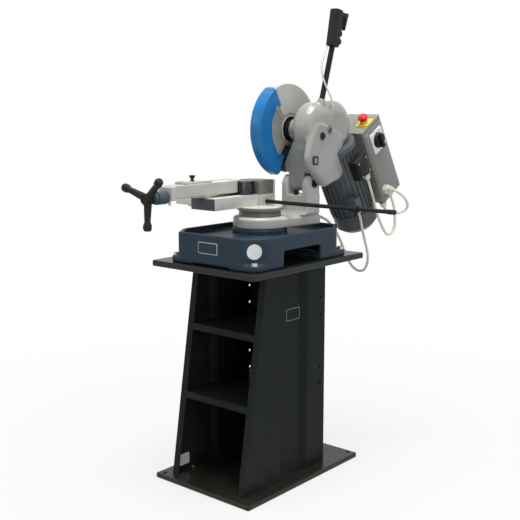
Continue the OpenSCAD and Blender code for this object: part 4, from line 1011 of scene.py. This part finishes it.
# Head: the oil plug, the level glass and the small window, on the cover's face, sunk in or stood out of it
LEVEL_RIM_SINK, LEVEL_GLASS_OUT = 0.0005, 0.0008
FRAME_SINK, PANE_OUT = 0.0003, 0.0018
PLUG = (0.100, 0.990)
LEVEL = (0.134, 1.006)
WINDOW = (0.066, 0.923)
plug = socket_screw("fill_plug", radius=0.0100, high=0.0030, place=(HEAD_FACE, *PLUG), slot="black_plastic")
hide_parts("oil_plugs")
round_plate("level_rim", radius=0.0092, thick=0.0024, place=(HEAD_FACE - LEVEL_RIM_SINK, *LEVEL),
            normal=RIGHT, body="head", slot="box_grey")
round_plate("level_glass", radius=0.0060, thick=0.0012, place=(HEAD_FACE + LEVEL_GLASS_OUT, *LEVEL),
            normal=RIGHT, body="head", slot="black_plastic", finish=level_green)
bare_plate("window_frame", (0.0230, 0.0240), thick=0.0034, place=(HEAD_FACE - FRAME_SINK, *WINDOW),
           normal=RIGHT, body="head", slot="black_plastic", rim=0.0036)
bare_plate("window_pane", (0.0150, 0.0160), thick=0.0010, place=(HEAD_FACE + PANE_OUT, *WINDOW),
           normal=RIGHT, body="head", slot="box_grey", rim=0.0010)

# Motor: the lids' screws and the marks beside the switch, on faces of the motor frame
TERMINAL_FACE = 0.0940
BOX_FACE = 0.0630
SWITCH_FACE = 0.0670
MARK_LONG, MARK_SHORT = 0.0050, 0.0012
MARKS = (((0.109, -0.163), (MARK_LONG, MARK_SHORT)), ((0.134, -0.138), (MARK_SHORT, MARK_LONG)))
corner_screws("terminal_screw", radius=0.0026, high=0.0016, face=TERMINAL_FACE, columns=(-0.020, 0.020),
              rows=(-0.192, -0.148))
corner_screws("lid_screw", radius=0.0030, high=0.0016, face=BOX_FACE, columns=(0.090, 0.171),
              rows=(-0.346, -0.122))
for i, (mark_place, mark_size) in enumerate(MARKS):
    bare_plate(f"switch_mark_{i}", mark_size, thick=0.0004, place=on_motor(SWITCH_FACE, *mark_place),
               normal=RIGHT, body="head", slot="black_plastic", rim=0.0002, up=MOTOR_UP)

# Stand: the plate on its right side, and the one inside its left panel, a little sunk in the sheet
SIDE_PLATE = (0.1242, 0.0020, 0.4905)
SHEET = 0.002
PLATE_SINK = 0.0001
INNER_PLATE = (LEFT_PANEL + SHEET - PLATE_SINK, -0.1840, 0.0450)
bordered_plate("side_plate", (0.060, 0.034), border=0.0013, thick=0.0010, place=SIDE_PLATE, normal=RIGHT,
               face_slot="stand_black", edge_finish=side_grey)
bare_plate("inner_plate", (0.045, 0.034), thick=0.0010, place=INNER_PLATE, normal=RIGHT, body="stand",
           slot="white_plate")
